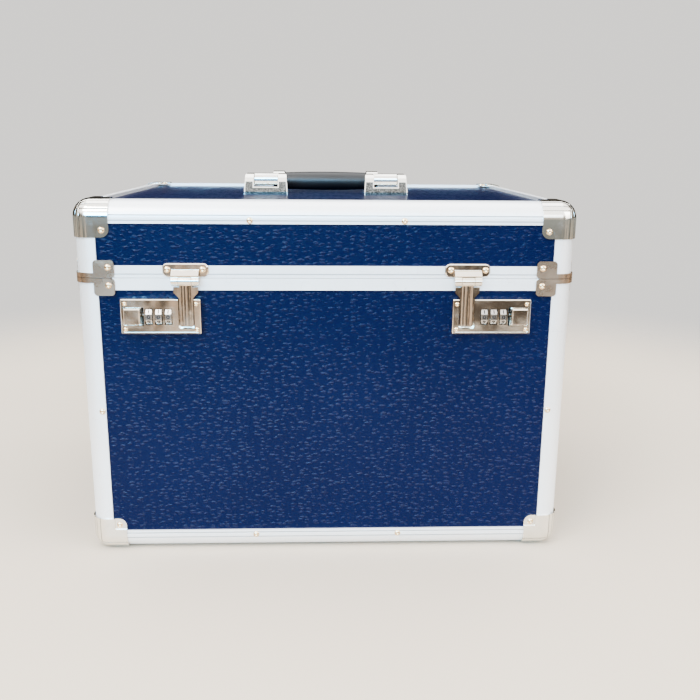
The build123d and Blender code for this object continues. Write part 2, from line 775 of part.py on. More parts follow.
def handle_arms():
    """Arms from the pivot knuckles back to the ferrules that hold the grip."""
    half = ARM_W / 2
    with BuildPart() as piece:
        rod(HANDLE_X - half, HANDLE_X + half, 0, PIVOT_Z, ARM_KNUCKLE_R)
        with BuildSketch(Plane.XY.offset(PIVOT_Z - ARM_BELOW)) as arm:
            with BuildLine():
                Polyline(
                    (HANDLE_X - half, 0),
                    (HANDLE_X + half, 0),
                    (HANDLE_X + half, 17),
                    (HANDLE_X + 2, GRIP_Y + 4),
                    (GRIP_HALF + FERRULE_L, GRIP_Y + 6),
                    (GRIP_HALF + 3, GRIP_Y),
                    (GRIP_HALF + 3, GRIP_Y - 8),
                    (HANDLE_X - half, 20),
                    close=True,
                )
            make_face()
        extrude(arm.sketch, amount=ARM_T)
        rod(GRIP_HALF, GRIP_HALF + FERRULE_L, GRIP_Y, GRIP_Z, FERRULE_R)
        fillet(piece.faces().sort_by(Axis.X)[0].edges(), 1.2)
        bore = PIVOT_R + RUNNING
        rod(HANDLE_X - half, HANDLE_X + half, 0, PIVOT_Z, bore, Mode.SUBTRACT)
        mirror(about=Plane.YZ)
    return piece


def handle_grip():
    """Round grip between the ferrules, slightly waisted at both ends."""
    rim_y, middle_y = GRIP_Y + GRIP_R - GRIP_WAIST, GRIP_Y + GRIP_R
    with BuildPart() as piece:
        with BuildSketch(Plane.XY.offset(GRIP_Z)):
            with BuildLine():
                Polyline((-GRIP_HALF, rim_y), (-GRIP_HALF, GRIP_Y), (GRIP_HALF, GRIP_Y), (GRIP_HALF, rim_y))
                ThreePointArc((GRIP_HALF, rim_y), (0, middle_y), (-GRIP_HALF, rim_y))
            make_face()
        revolve(axis=Axis((0, GRIP_Y, GRIP_Z), (1, 0, 0)))
    return piece


def tray():
    """Lift-out tray: moulded tub with a turned-out rim."""
    tub_x, tub_y = 2 * (TRAY_X - TRAY_LIP), 2 * (TRAY_Y - TRAY_LIP)
    with BuildPart() as piece:
        with BuildSketch(Plane.XY.offset(TRAY_Z)):
            RectangleRounded(tub_x, tub_y, TRAY_R)
        extrude(amount=TRAY_H)
        with BuildSketch(Plane.XY.offset(TRAY_Z + TRAY_H - TRAY_WALL)):
            RectangleRounded(2 * TRAY_X, 2 * TRAY_Y, TRAY_R + TRAY_LIP)
        extrude(amount=TRAY_WALL)
        with BuildSketch(Plane.XY.offset(TRAY_Z + TRAY_WALL)):
            RectangleRounded(tub_x - 2 * TRAY_WALL, tub_y - 2 * TRAY_WALL, TRAY_R - TRAY_WALL)
        extrude(amount=TRAY_H, mode=Mode.SUBTRACT)
    return piece


def tray_dividers():
    """Two cross walls that make three compartments."""
    inner_y = TRAY_Y - TRAY_LIP - TRAY_WALL
    with BuildPart() as piece:
        for side in (-1, 1):
            with BuildSketch(Plane.YZ.offset(side * DIVIDER_X - TRAY_WALL / 2)):
                with Locations((0, TRAY_Z + TRAY_WALL + DIVIDER_H / 2)):
                    Rectangle(2 * inner_y, DIVIDER_H)
            extrude(amount=TRAY_WALL)
    return piece


def tray_ledges():
    """Angle strips on the side walls that carry the tray."""
    wall = LINING_X - LINING_T
    with BuildPart() as piece:
        with BuildSketch(Plane.XZ.offset(-TRAY_Y + 10)):
            block(wall - LEDGE, wall, TRAY_Z - LEDGE_T, TRAY_Z)
            block(wall - LEDGE_T, wall, TRAY_Z - LEDGE, TRAY_Z)
        extrude(amount=2 * (TRAY_Y - 10))
        mirror(about=Plane.YZ)
    return piece


def rivet_head(place, outward, radius=RIVET_R):
    """One low domed head on a face, its middle at the given place."""
    across = (1, 0, 0) if outward[2] else (0, 0, 1)
    ball_r = (radius**2 + RIVET_H**2) / (2 * RIVET_H)
    rise = 0.6 * RIVET_H
    mid = (ball_r**2 - (ball_r - RIVET_H + rise) ** 2) ** 0.5
    normal = Vector(*across).cross(Vector(*outward))
    with BuildSketch(Plane(origin=place, x_dir=across, z_dir=normal)) as half:
        with BuildLine():
            Line((0, 0), (radius, 0))
            ThreePointArc((radius, 0), (mid, rise), (0, RIVET_H))
            Line((0, RIVET_H), (0, 0))
        make_face()
    revolve(half.sketch, axis=Axis(place, outward))


def corner_rivets():
    """The three rivets of the front left ball corner of the base."""
    lobe = FLANGE_T - SHEET
    x0, y0, z0 = -HALF_W, -HALF_D, FOOT
    rivet_head((x0 + RIVET_IN, y0 + lobe, z0 + RIVET_IN), (0, -1, 0))
    rivet_head((x0 + lobe, y0 + RIVET_IN, z0 + RIVET_IN), (-1, 0, 0))
    rivet_head((x0 + RIVET_IN, y0 + RIVET_IN, z0 + lobe), (0, 0, -1))


def plate_rivets(z):
    """Rivets of the front left seam plate."""
    rivet_head((-HALF_W + PLATE_RIVET_IN, -HALF_D - SHEET, z), (0, -1, 0))
    rivet_head((-HALF_W - SHEET, -HALF_D + PLATE_RIVET_IN, z), (-1, 0, 0))


def hinge_rivets(z):
    """Rivets of one leaf of each back hinge."""
    for side in (-1, 1):
        for across in (-HINGE_RIVET_X, HINGE_RIVET_X):
            rivet_head((side * HINGE_X + across, HALF_D + SHEET, z), (0, 1, 0))


def base_rivets():
    """Rivets of the base: corners, seam plates, posts, bottom edges, lock cases and hinges."""
    edge_z = FOOT + EDGE_RIVET_IN
    with BuildPart() as piece:
        corner_rivets()
        plate_rivets(BASE_TOP - BASE_PLATE_RIVET)
        rivet_head((-EDGE_RIVET_X, -HALF_D, edge_z), (0, -1, 0))
        rivet_head((-HALF_W + POST_RIVET_IN, -HALF_D, POST_RIVET_Z), (0, -1, 0))
        mirror(about=Plane.YZ)
        mirror(about=Plane.XZ)
        hinge_rivets(BASE_TOP - HINGE_RIVET_IN)
        for side in (-1, 1):
            rivet_head((side * HALF_W, 0, edge_z), (side, 0, 0))
            for x, z in LOCK_RIVETS:
                rivet_head((side * x, -LOCK_SUNK, z), (0, -1, 0), LOCK_RIVET_R)
    return piece


def lid_rivets():
    """Rivets of the lid: corners, seam plates, top edges, latch plates and hinges."""
    edge_z = TOP - TOP_RIVET_IN
    with BuildPart() as piece:
        corner_rivets()
        mirror(about=Plane.XY.offset(MID_Z), mode=Mode.REPLACE)
        plate_rivets(LID_BOTTOM + LID_PLATE_RIVET)
        rivet_head((-EDGE_RIVET_X, -HALF_D, edge_z), (0, -1, 0))
        mirror(about=Plane.YZ)
        mirror(about=Plane.XZ)
        hinge_rivets(LID_BOTTOM + HINGE_RIVET_IN)
        for side in (-1, 1):
            rivet_head((side * HALF_W, 0, edge_z), (side, 0, 0))
            for x in LATCH_RIVET_X:
                rivet_head((side * x, -HALF_D - LATCH_PLATE_T, LATCH_RIVET_Z), (0, -1, 0))
    return piece


def mirrored(piece):
    """The same piece on the left of the box."""
    with BuildPart() as other:
        add(piece.part)
        mirror(about=Plane.YZ, mode=Mode.REPLACE)
    return other


def save_pair(piece, name):
    """Write a piece made on the right, and its mirror image on the left."""
    save(piece, f"{name}_right")
    save(mirrored(piece), f"{name}_left")


def make_shell(name, z0, z1):
    """Back and side panels of the base or the lid."""
    save(back_panel(z0, z1), f"{name}_back_panel")
    save(side_panel(-1, z0, z1), f"{name}_left_panel")
    save(side_panel(1, z0, z1), f"{name}_right_panel")


def make_corners():
    """Eight ball corners, mirrored from one."""
    cap = corner_cap()
    over = Plane.XY.offset(MID_Z)
    for name, up in (("base", []), ("lid", [over])):
        save(placed_cap(cap, up), f"{name}_corner_front_left")
        save(placed_cap(cap, up + [Plane.YZ]), f"{name}_corner_front_right")
        save(placed_cap(cap, up + [Plane.XZ]), f"{name}_corner_back_left")
        save(placed_cap(cap, up + [Plane.YZ, Plane.XZ]), f"{name}_corner_back_right")


def make_base():
    """The box below the seam."""
    z0, z1 = FOOT + PANEL_EDGE, BASE_TOP - RIM_WEB - 0.2
    save(base_front_panel(z0, z1), "base_front_panel")
    make_shell("base", z0, z1)
    save(level_panel(FOOT + FLANGE_T, FOOT + LIP_IN), "base_bottom_panel")
    save(posts(FOOT + FLANGE, BASE_TOP - FOOT - FLANGE), "base_corner_posts")
    save(frame_ring(edge_section, FOOT, 1), "base_bottom_edges")
    save(frame_ring(base_rim_section, BASE_TOP, -1), "base_rims")
    save(seam_plates(BASE_TOP, -1), "base_seam_plates")
    save(base_lining(), "base_lining")
    save(base_rivets(), "base_rivets")
    save(tray(), "tray")
    save(tray_dividers(), "tray_dividers")
    save(tray_ledges(), "tray_ledges")


def make_lid():
    """The box above the seam."""
    z0, z1 = LID_BOTTOM + RIM_WEB + 0.2, TOP - PANEL_EDGE
    x = HALF_W - PANEL_EDGE
    save(sheet(-x, x, -PANEL_FACE, -PANEL_BACK, z0, z1), "lid_front_panel")
    make_shell("lid", z0, z1)
    save(level_panel(TOP - LIP_IN, LID_FACE), "lid_top_panel")
    save(posts(LID_BOTTOM, TOP - FLANGE - LID_BOTTOM), "lid_corner_posts")
    save(frame_ring(top_edge_section, TOP, -1), "lid_top_edges")
    save(frame_ring(lid_rim_section, LID_BOTTOM, 1), "lid_rims")
    save(seam_plates(LID_BOTTOM, 1), "lid_seam_plates")
    save(lining(TOP - LINING_IN, LID_BOTTOM + DUST_LIP_H + 1.0), "lid_lining")
    save(lid_rivets(), "lid_rivets")


def make_locks():
    """Both latches with their locks."""
    save_pair(latch_plate(), "latch_plate")
    save(latch_pins(), "latch_pins")
    save_pair(hasp(), "hasp")
    save_pair(lock_case(), "lock_case")
    save(lock_back_plates(), "lock_back_plates")
    save_pair(lock_spindle(), "lock_spindle")
    for number, x in enumerate(DIAL_X, start=1):
        save_pair(dial(x), f"dial_{number}")
    save_pair(button(), "button")
    save_pair(button_spring(), "button_spring")


def make_back_hinges():
    """Leaves and pins of the back hinges."""
    save(hinge_leaves(-1), "hinge_leaves_base")
    save(hinge_leaves(1), "hinge_leaves_lid")
    save(hinge_pins(), "hinge_pins")


def make_handle():
    """Brackets and pins on the lid, and the handle itself."""
    save(handle_brackets(), "handle_brackets")
    save(handle_pins(), "handle_pins")
    save(handle_arms(), "handle_arms")
    save(handle_grip(), "handle_grip")


def main():
    """Make every piece."""
    make_base()
    make_lid()
    make_corners()
    make_locks()
    make_back_hinges()
    make_handle()


main()
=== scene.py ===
"""Looks of the aluminium-framed grooming box: finishes, rivet heads, figures, linings and stage."""

import math

import bmesh
import bpy
from bpy.props import FloatProperty, FloatVectorProperty, IntProperty, PointerProperty
from mathutils import Matrix, Vector, noise


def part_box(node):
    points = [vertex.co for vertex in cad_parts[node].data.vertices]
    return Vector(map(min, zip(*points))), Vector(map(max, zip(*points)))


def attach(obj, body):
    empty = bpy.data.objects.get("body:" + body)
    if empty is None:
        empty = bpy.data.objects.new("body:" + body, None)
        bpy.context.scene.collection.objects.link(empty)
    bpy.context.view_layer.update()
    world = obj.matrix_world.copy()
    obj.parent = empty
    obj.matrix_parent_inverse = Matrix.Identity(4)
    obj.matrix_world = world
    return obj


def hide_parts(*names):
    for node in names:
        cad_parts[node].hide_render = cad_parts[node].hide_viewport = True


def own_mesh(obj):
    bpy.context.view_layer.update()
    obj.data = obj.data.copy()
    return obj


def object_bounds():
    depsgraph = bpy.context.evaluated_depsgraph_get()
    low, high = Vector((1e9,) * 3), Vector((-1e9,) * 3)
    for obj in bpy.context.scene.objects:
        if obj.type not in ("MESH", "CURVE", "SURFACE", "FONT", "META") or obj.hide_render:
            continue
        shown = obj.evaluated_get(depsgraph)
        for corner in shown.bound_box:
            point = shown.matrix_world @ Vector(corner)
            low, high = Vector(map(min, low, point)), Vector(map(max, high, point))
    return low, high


bl_info = {
    "name": "Grooming box looks",
    "version": (1, 0, 0),
    "blender": (4, 5, 0),
    "location": "3D View > Sidebar > Box",
    "description": "Finishes and fine pieces of an aluminium-framed grooming box",
    "category": "Object",
}

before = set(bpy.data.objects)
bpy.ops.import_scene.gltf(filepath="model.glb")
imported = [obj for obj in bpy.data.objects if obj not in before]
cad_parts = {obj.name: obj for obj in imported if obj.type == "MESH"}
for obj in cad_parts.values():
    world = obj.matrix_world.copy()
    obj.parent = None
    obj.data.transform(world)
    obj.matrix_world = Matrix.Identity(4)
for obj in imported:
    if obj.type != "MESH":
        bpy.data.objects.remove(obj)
cad_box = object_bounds()

SIDES = (("left", -1), ("right", 1))
PANELS = [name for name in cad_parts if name.endswith("_panel")]
CORNERS = [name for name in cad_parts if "_corner_" in name and not name.endswith("posts")]
TURN = 2 * math.pi

# Panels: range of drop widths, where a drop starts to fall and how far its outline wanders
DROP_WIDTHS = (0.45, 1.3)
DROP_CREST = 0.1
WANDER = 0.004
WANDER_SCALE = 240.0

# Panels: step up a drop, in radii, that finds its upper flank, the slopes between which the flank
# turns glossy and how glossy, and the specks' height and gloss
FLANK_STEP = 0.4
FLANK_SLOPES = (0.08, 0.32)
FLANK_GLOSS = 0.55
SPECK_HEIGHT = 0.16
SPECK_GLOSS = 0.10

# Profiles: grooves in from the outer edges and up from the seam, half the width of the painted
# shade line in a groove, and how far inside the panel's end the side runs start
GROOVES = (0.0113, 0.0155)
RIM_GROOVE = 0.0029
GROOVE_HALF = 0.0004
SIDE_START = 0.008

# Ball corners: how far in the pressed creases lie, half their width and their depth
CREASE_IN = 0.0078
CREASE_HALF = 0.0006
CREASE_DEPTH = 0.0004

# Handle brackets: edges left bright as a painted highlight, lean of the ends, the arms' slot, the
# foot of the crown, and the walls' share of the plating's colour under painted shade and their
# added roughness
EDGE_SHINE = 0.0010
BRACKET_LEAN = 0.0013
SLOT_HALF = 0.0113
SLOT_FLOOR = 0.0068
CROWN_FOOT = 0.0120
PAINTED_SHADE_SHARE = 0.065
DULL_ROUGHNESS = 0.12

# Handling marks: noise levels between clean and smudged, how far a scratch bends, its width over
# the spacing, and noise levels between which it breaks off
SMUDGED = (0.42, 0.72)
SCRATCH_BEND = 0.03
SCRATCH_WIDTH = 0.012
BROKEN = (0.5, 0.62)

# Dials: figures round each
FIGURES = 10

# Plated metals: colour, roughness, offset of the marks, and height and width of the pressed waves
PLATINGS = {
    "bright_nickel_corners": ("nickel", 0.11, 0.0, 0.00012, 0.018),
    "warm_nickel_plates": ("warm_nickel", 0.26, 0.9, 0.00006, 0.02),
    "rivet_plating": ("rivet", 0.16, 1.7, 0.00002, 0.004),
    "latch_chrome": ("lock", 0.11, 2.3, 0.00018, 0.009),
    "lock_chrome": ("lock", 0.12, 3.1, 0.0004, 0.015),
    "zinc_plated_steel": ("steel", 0.34, 4.2, 0.00006, 0.02),
    "dial_metal": ("dial", 0.20, 5.0, 0.00002, 0.004),
    "spring_steel": ("steel", 0.25, 6.0, 0.00001, 0.002),
    "cast_nickel_brackets": ("nickel", 0.13, 7.4, 0.00006, 0.012),
    "bright_nickel_arms": ("nickel", 0.12, 7.9, 0.00006, 0.012),
    "hinge_nickel": ("nickel", 0.2, 8.8, 0.00006, 0.02),
}

# Plastic, rubber and foam: colour, roughness, and width and depth of the grain
GRAINS = {
    "grip_rubber": ("grip", 0.36, 0.0007, 0.00004),
    "lining_foam": ("lining", 0.72, 0.0016, 0.00016),
    "tray_plastic": ("tray", 0.42, 0.0011, 0.00006),
}

# Rivet heads: radii within which one head's points lie, powers that round the flank and the crown,
# the dimple's flat and rim in radii, and how near points merge
HEAD_REACH = 2.4
FLANK_POWER = 2.6
CROWN_POWER = 0.62
DIMPLE = (0.12, 0.42)
MERGE = 0.00001

# Springs: steps in a turn of the coil and sides of its wire
COIL_STEPS = 16
WIRE_SIDES = 8

# Linings: steps in a rounded quarter turn, scale of the foam's unevenness, and the sharpness from
# which an edge is rounded
ARC_STEPS = 6
UNEVEN_SCALE = 14.0
SHARP = math.radians(50)

# Mirrored surroundings: noise levels between dim and lit stretches, and dim and lit ground
STRETCHES = (0.44, 0.56)
PATCHES = (0.40, 0.60)

# Mirrored surroundings, as heights from -1 to 1: ends of the near ground, of the ground and of
# the band under the sky, and how much higher that band reaches behind the box
NEAR_GROUND = (-0.13, -0.08)
GROUND = (-0.05, -0.01)
SKYLINE = (0.14, 0.42)
HIGHER_BEHIND = 0.45

# Opening in the surroundings: its left and right edges as bearings, its foot and head as heights
OPENING_LEFT = (-0.80, -0.45)
OPENING_RIGHT = (-0.10, 0.42)
OPENING_FOOT = (0.09, 0.18)
OPENING_HEAD = (0.32, 0.46)

# Area lights: name, place, aim, size, watts and tone
LIGHTS = (
    ("key", (-0.9, -1.2, 1.6), (0, 0, 0.2), 0.9, 32, (1.0, 0.98, 0.95)),
    ("fill", (1.4, -1.0, 0.9), (0, 0, 0.15), 1.2, 18, (1.0, 0.97, 0.94)),
    ("top", (0, 0.4, 1.8), (0, 0, 0.2), 1.6, 13, (0.97, 0.98, 1.0)),
)


# Sizes and colours that a user would change

def colour(name, description, default):
    """A colour property."""
    return FloatVectorProperty(
        name=name, description=description, default=default, size=3, min=0, max=1, subtype="COLOR"
    )


def number(name, description, default, **limits):
    """A number property."""
    return FloatProperty(name=name, description=description, default=default, **limits)


def length(name, description, default):
    """A length property, in metres."""
    return number(name, description, default, min=0, unit="LENGTH")


def angle(name, description, degrees):
    """An angle property, with its default in degrees."""
    return number(name, description, math.radians(degrees), subtype="ANGLE")


class BoxFinish(bpy.types.PropertyGroup):
    """Colours of the box's materials."""

    panel: colour("Panel", "Embossed plastic face of the panels", (0.0007, 0.0043, 0.036))
    # panel_sheen is a painted highlight: a lighter colour put on the crests of the drops
    panel_sheen: colour("Panel crests", "Lighter tint on the raised drops", (0.0008, 0.0060, 0.042))
    panel_speck: colour("Panel specks", "Teal cast among the drops", (0.0006, 0.0068, 0.035))
    aluminium: colour("Aluminium", "Satin anodised edge profiles", (0.93, 0.93, 0.94))
    nickel: colour("Nickel", "Bright plating of the corners and the handle", (0.86, 0.84, 0.79))
    warm_nickel: colour("Warm nickel", "Plating of the seam plates", (0.54, 0.43, 0.34))
    lock: colour("Lock chrome", "Plating of the latches and lock cases", (0.84, 0.77, 0.68))
    dial: colour("Dial metal", "Bare metal of the number dials", (0.50, 0.48, 0.46))
    figure: colour("Dial figures", "Paint of the figures on the dials", (0.006, 0.006, 0.007))
    rivet: colour("Rivet metal", "Plating of the rivet heads", (0.86, 0.69, 0.47))
    steel: colour("Steel", "Zinc-plated pins, springs and back plates", (0.55, 0.55, 0.54))
    lining: colour("Lining", "Foam lining inside the base and the lid", (0.020, 0.020, 0.023))
    grip: colour("Grip", "Rubber sleeve of the handle", (0.008, 0.008, 0.009))
    tray: colour("Tray", "Moulded lift-out tray", (0.016, 0.016, 0.018))


class PanelRelief(bpy.types.PropertyGroup):
    """Sizes of the drops embossed on the panels."""

    spacing: length("Drop spacing", "Mean distance between neighbouring drops", 0.0062)
    height: length("Drop height", "How far a drop stands out of the panel", 0.00030)
    share: number("Drop size", "Radius of a drop over the spacing", 0.42, min=0.05, max=0.6)
    flatness: number("Flatness", "How much wider than tall a drop is", 1.9, min=1, max=3)
    speck: length("Speck spacing", "Mean distance between the fine specks among the drops", 0.0019)


class RivetSizes(bpy.types.PropertyGroup):
    """Sizes of the domed rivet heads."""

    radius: length("Head radius", "Radius of a rivet head", 0.0026)
    height: length("Head height", "Height of a rivet head", 0.0012)
    dimple: length("Dimple depth", "Depth of the dimple in the middle of a head", 0.0007)
    rings: IntProperty(name="Rings", description="Rings of faces in a head", default=10, min=4)
    sectors: IntProperty(name="Sectors", description="Faces round a head", default=24, min=8)


class DialFigures(bpy.types.PropertyGroup):
    """Sizes of the figures painted on the dials."""

    height: length("Figure height", "Height of a figure along the dial's edge", 0.0031)
    width: number("Figure width", "Width over the plain letter form's", 1.35, min=0.5, max=2)
    boldness: number("Boldness", "How far a stroke is thickened", 0.022, min=0, max=0.05)
    paint: length("Paint thickness", "How far the paint stands off the metal", 0.00003)


class SpringSizes(bpy.types.PropertyGroup):
    """Sizes of the return spring of each button."""

    wire: length("Wire radius", "Radius of the spring's wire", 0.00035)
    turns: number("Turns", "Turns of the coil", 8.5, min=1)


class LiningSizes(bpy.types.PropertyGroup):
    """Sizes of the foam lining."""

    thickness: length("Thickness", "Thickness of the foam sheet", 0.002)
    corner: length("Corner radius", "Radius of the upright corners, at the sheet's middle", 0.009)
    fold: length("Fold radius", "Radius between the walls and the closed side", 0.004)
    edge: length("Rim rounding", "Rounding of the cut edges of the sheet", 0.0006)
    mesh: length("Mesh width", "Width of the lining's faces", 0.008)
    sag: length("Unevenness", "How far the sheet stands off the walls in places", 0.0004)
    play: length("Cut-out play", "Play round the lock backs in their cut-outs", 0.001)


class StudioSettings(bpy.types.PropertyGroup):
    """Camera of the photograph, floor and soft lights."""

    lens: number("Lens", "Focal length", 42.43, unit="CAMERA")
    yaw: angle("Yaw", "Turn of the view to the right", 2.221)
    pitch: angle("Pitch", "Tilt of the view down", 14.02)
    roll: angle("Roll", "Turn of the camera about its view", 0.466)
    place: FloatVectorProperty(
        name="Camera place", description="Where the camera stands", size=3,
        default=(-0.00683, -0.80407, 0.34156), subtype="TRANSLATION", unit="LENGTH",
    )
    floor: colour("Floor", "Pale studio floor", (0.64, 0.55, 0.45))
    floor_reach: length("Floor reach", "How far from the box the floor fades out", 1.15)
    backdrop: colour("Backdrop", "What the camera sees past the floor", (0.86, 0.84, 0.81))
    backdrop_light: number("Backdrop light", "Brightness of the backdrop", 1.1)
    sky: colour("Sky", "Soft light from above", (0.98, 0.97, 0.95))
    sky_light: number("Sky light", "Brightness of the sky", 2.7)
    opening: colour("Opening", "Open blue sky low over the surroundings", (0.25, 0.64, 1.0))
    opening_light: number("Opening light", "Brightness of the opening", 22)
    horizon: colour("Horizon", "Lit surroundings near the horizon", (0.62, 0.56, 0.48))
    shade: colour("Shade", "Unlit surroundings near the horizon", (0.020, 0.019, 0.016))
    far_ground: colour("Far ground", "Ground towards the horizon", (0.40, 0.42, 0.39))
    lit_ground: colour("Lit ground", "Lit patches of the ground past the floor", (1.0, 0.76, 0.56))
    dim_ground: colour("Dim ground", "Dim patches of that ground", (0.085, 0.065, 0.050))


# Building blocks for node trees

def node(tree, kind, inputs=None, **settings):
    """A new node; inputs maps a socket's name or number to a value or to another node's output."""
    made = tree.nodes.new(kind)
    for name, value in settings.items():
        setattr(made, name, value)
    for name, value in (inputs or {}).items():
        if isinstance(value, bpy.types.NodeSocket):
            tree.links.new(value, made.inputs[name])
        else:
            made.inputs[name].default_value = value
    return made


def result(tree, kind, inputs=None, **settings):
    """First output of a new node."""
    return node(tree, kind, inputs, **settings).outputs[0]


def calc(tree, operation, first, second=0.0, third=0.0):
    """Output of a Math node."""
    return result(tree, "ShaderNodeMath", {0: first, 1: second, 2: third}, operation=operation)


def product(tree, *factors):
    """All the factors multiplied."""
    so_far = factors[0]
    for factor in factors[1:]:
        so_far = calc(tree, "MULTIPLY", so_far, factor)
    return so_far


def apart(tree, first, second):
    """How far two values lie apart."""
    return calc(tree, "ABSOLUTE", calc(tree, "SUBTRACT", first, second))


def beyond(tree, value, limit):
    """1 where a value lies further from zero than a limit, else 0."""
    return calc(tree, "GREATER_THAN", calc(tree, "ABSOLUTE", value), limit)


def vector_calc(tree, operation, first, second, third=(0, 0, 0)):
    """Vector output of a Vector Math node."""
    inputs = {0: first, 1: second, 2: third}
    return result(tree, "ShaderNodeVectorMath", inputs, operation=operation)


def split(tree, vector):
    """X, Y and Z of a vector."""
    return node(tree, "ShaderNodeSeparateXYZ", {0: vector}).outputs


def ramp(tree, value, low, high, to_low=0.0, to_high=1.0, smooth=True):
    """Output of a clamped Map Range node."""
    return result(
        tree, "ShaderNodeMapRange", {0: value, 1: low, 2: high, 3: to_low, 4: to_high},
        interpolation_type="SMOOTHSTEP" if smooth else "LINEAR",
    )


def fall(tree, value, low, high):
    """Output of a clamped Map Range node that falls from 1 to 0."""
    return ramp(tree, value, low, high, 1.0, 0.0)


def blend(tree, factor, first, second):
    """Output of a mix of two numbers."""
    return result(tree, "ShaderNodeMix", {0: factor, 2: first, 3: second})


def rgba(value):
    """A colour with its alpha; a node's output stays as it is."""
    return value if isinstance(value, bpy.types.NodeSocket) else (*value[:3], 1.0)


def blend_colour(tree, factor, first, second):
    """Output of a mix of two colours."""
    inputs = {0: factor, 6: rgba(first), 7: rgba(second)}
    return node(tree, "ShaderNodeMix", inputs, data_type="RGBA").outputs[2]


def lighter(value, by):
    """The colour, brighter or darker by a factor."""
    return tuple(min(1.0, channel * by) for channel in value)


def stained(tree, clean, mask, share, tone, by):
    """A colour that takes on a share of a tone, brighter or darker by a factor, under a mask."""
    return blend_colour(tree, product(tree, mask, share), clean, lighter(tone, by))


def raised(tree, value, mask, by):
    """A value that a mask raises by so much."""
    return calc(tree, "MULTIPLY_ADD", mask, by, value)


def object_place(tree):
    """Object coordinates."""
    return node(tree, "ShaderNodeTexCoord").outputs["Object"]


def clouds(tree, place, scale, detail=2.0, roughness=0.5):
    """Value and colour of a noise texture."""
    return node(
        tree, "ShaderNodeTexNoise",
        {"Vector": place, "Scale": scale, "Detail": detail, "Roughness": roughness},
    ).outputs


def node_group(name, tree_kind, wanted, given):
    """An empty node group; wanted has a name, kind and default per input, given a name and kind."""
    group = bpy.data.node_groups.new(name, tree_kind)
    for label, kind, default in wanted:
        socket = group.interface.new_socket(label, in_out="INPUT", socket_type="NodeSocket" + kind)
        if default is not None:
            socket.default_value = default
    for label, kind in given:
        group.interface.new_socket(label, in_out="OUTPUT", socket_type="NodeSocket" + kind)
    return group


def use_group(tree, group, values):
    """Outputs of a group placed in a material, with its own values."""
    return node(tree, "ShaderNodeGroup", values, node_tree=group).outputs


def handling_marks():
    """Smudges and fine scratches that handling leaves on smooth metal and plastic."""
    name = "Handling marks"
    if name in bpy.data.node_groups:
        return bpy.data.node_groups[name]
    group = node_group(
        name, "ShaderNodeTree",
        [("Smudge Size", "Float", 0.03), ("Scratch Spacing", "Float", 0.012),
         ("Offset", "Float", 0.0)],
        [("Smudges", "Float"), ("Scratches", "Float")],
    )
    source = node(group, "NodeGroupInput").outputs
    shifted = vector_calc(group, "ADD", object_place(group), source["Offset"])
    smudge_scale = calc(group, "DIVIDE", 1.0, source["Smudge Size"])
    smudges = ramp(group, clouds(group, shifted, smudge_scale, 4.0, 0.62)[0], *SMUDGED)
    bend = clouds(group, shifted, 22.0, 1.0)[1]
    turned = vector_calc(group, "MULTIPLY_ADD", bend, (SCRATCH_BEND,) * 3, shifted)
    scratch_scale = calc(group, "DIVIDE", 1.0, source["Scratch Spacing"])
    cells = node(
        group, "ShaderNodeTexVoronoi", {"Vector": turned, "Scale": scratch_scale},
        feature="DISTANCE_TO_EDGE",
    ).outputs["Distance"]
    gaps = ramp(group, clouds(group, shifted, 90.0)[0], *BROKEN)
    scratches = product(group, fall(group, cells, 0.0, SCRATCH_WIDTH), gaps)
    node(group, "NodeGroupOutput", {"Smudges": smudges, "Scratches": scratches})
    return group


def drawn_grain():
    """Fine lines that drawing leaves along an aluminium profile, on its X, Y or Z runs."""
    name = "Drawn grain"
    if name in bpy.data.node_groups:
        return bpy.data.node_groups[name]
    group = node_group(
        name, "ShaderNodeTree",
        [("Along", "Vector", (1.0, 0.02, 1.0)), ("Fineness", "Float", 900.0)],
        [("Lines", "Float"), ("Cloud", "Float")],
    )
    source = node(group, "NodeGroupInput").outputs
    place = object_place(group)
    stretched = vector_calc(group, "MULTIPLY", place, source["Along"])
    node(group, "NodeGroupOutput", {
        "Lines": clouds(group, stretched, source["Fineness"], 3.0, 0.6)[0],
        "Cloud": clouds(group, place, 35.0, 3.0)[0],
    })
    return group


def fine_grain():
    """Fine leathery grain of moulded plastic, rubber and foam."""
    name = "Fine grain"
    if name in bpy.data.node_groups:
        return bpy.data.node_groups[name]
    group = node_group(
        name, "ShaderNodeTree", [("Grain Size", "Float", 0.0009)],
        [("Height", "Float"), ("Wear", "Float")],
    )
    source = node(group, "NodeGroupInput").outputs
    place = object_place(group)
    scale = calc(group, "DIVIDE", 1.0, source["Grain Size"])
    cells = node(
        group, "ShaderNodeTexVoronoi", {"Vector": place, "Scale": scale, "Smoothness": 0.5},
        feature="SMOOTH_F1",
    ).outputs["Distance"]
    node(group, "NodeGroupOutput", {
        "Height": fall(group, cells, 0.15, 0.8),
        "Wear": ramp(group, clouds(group, place, 28.0, 5.0)[0], 0.35, 0.75),
    })
    return group


# Materials

def material(name, **constants):
    """A new material; the constants go on its Principled BSDF's own sockets."""
    made = bpy.data.materials.new(name)
    made.use_nodes = True
    tree = made.node_tree
    shader = tree.nodes["Principled BSDF"]
    for label, value in constants.items():
        shader.inputs[label.replace("_", " ")].default_value = value
    return made, tree, shader


def wire(tree, shader, shade, roughness=None, height=None, distance=0.0002, strength=1.0):
    """Feed the varying colour, roughness and bump into a shader."""
    tree.links.new(shade, shader.inputs["Base Color"])
    if roughness is not None:
        tree.links.new(roughness, shader.inputs["Roughness"])
    if height is not None:
        inputs = {"Height": height, "Distance": distance, "Strength": strength}
        tree.links.new(result(tree, "ShaderNodeBump", inputs), shader.inputs["Normal"])


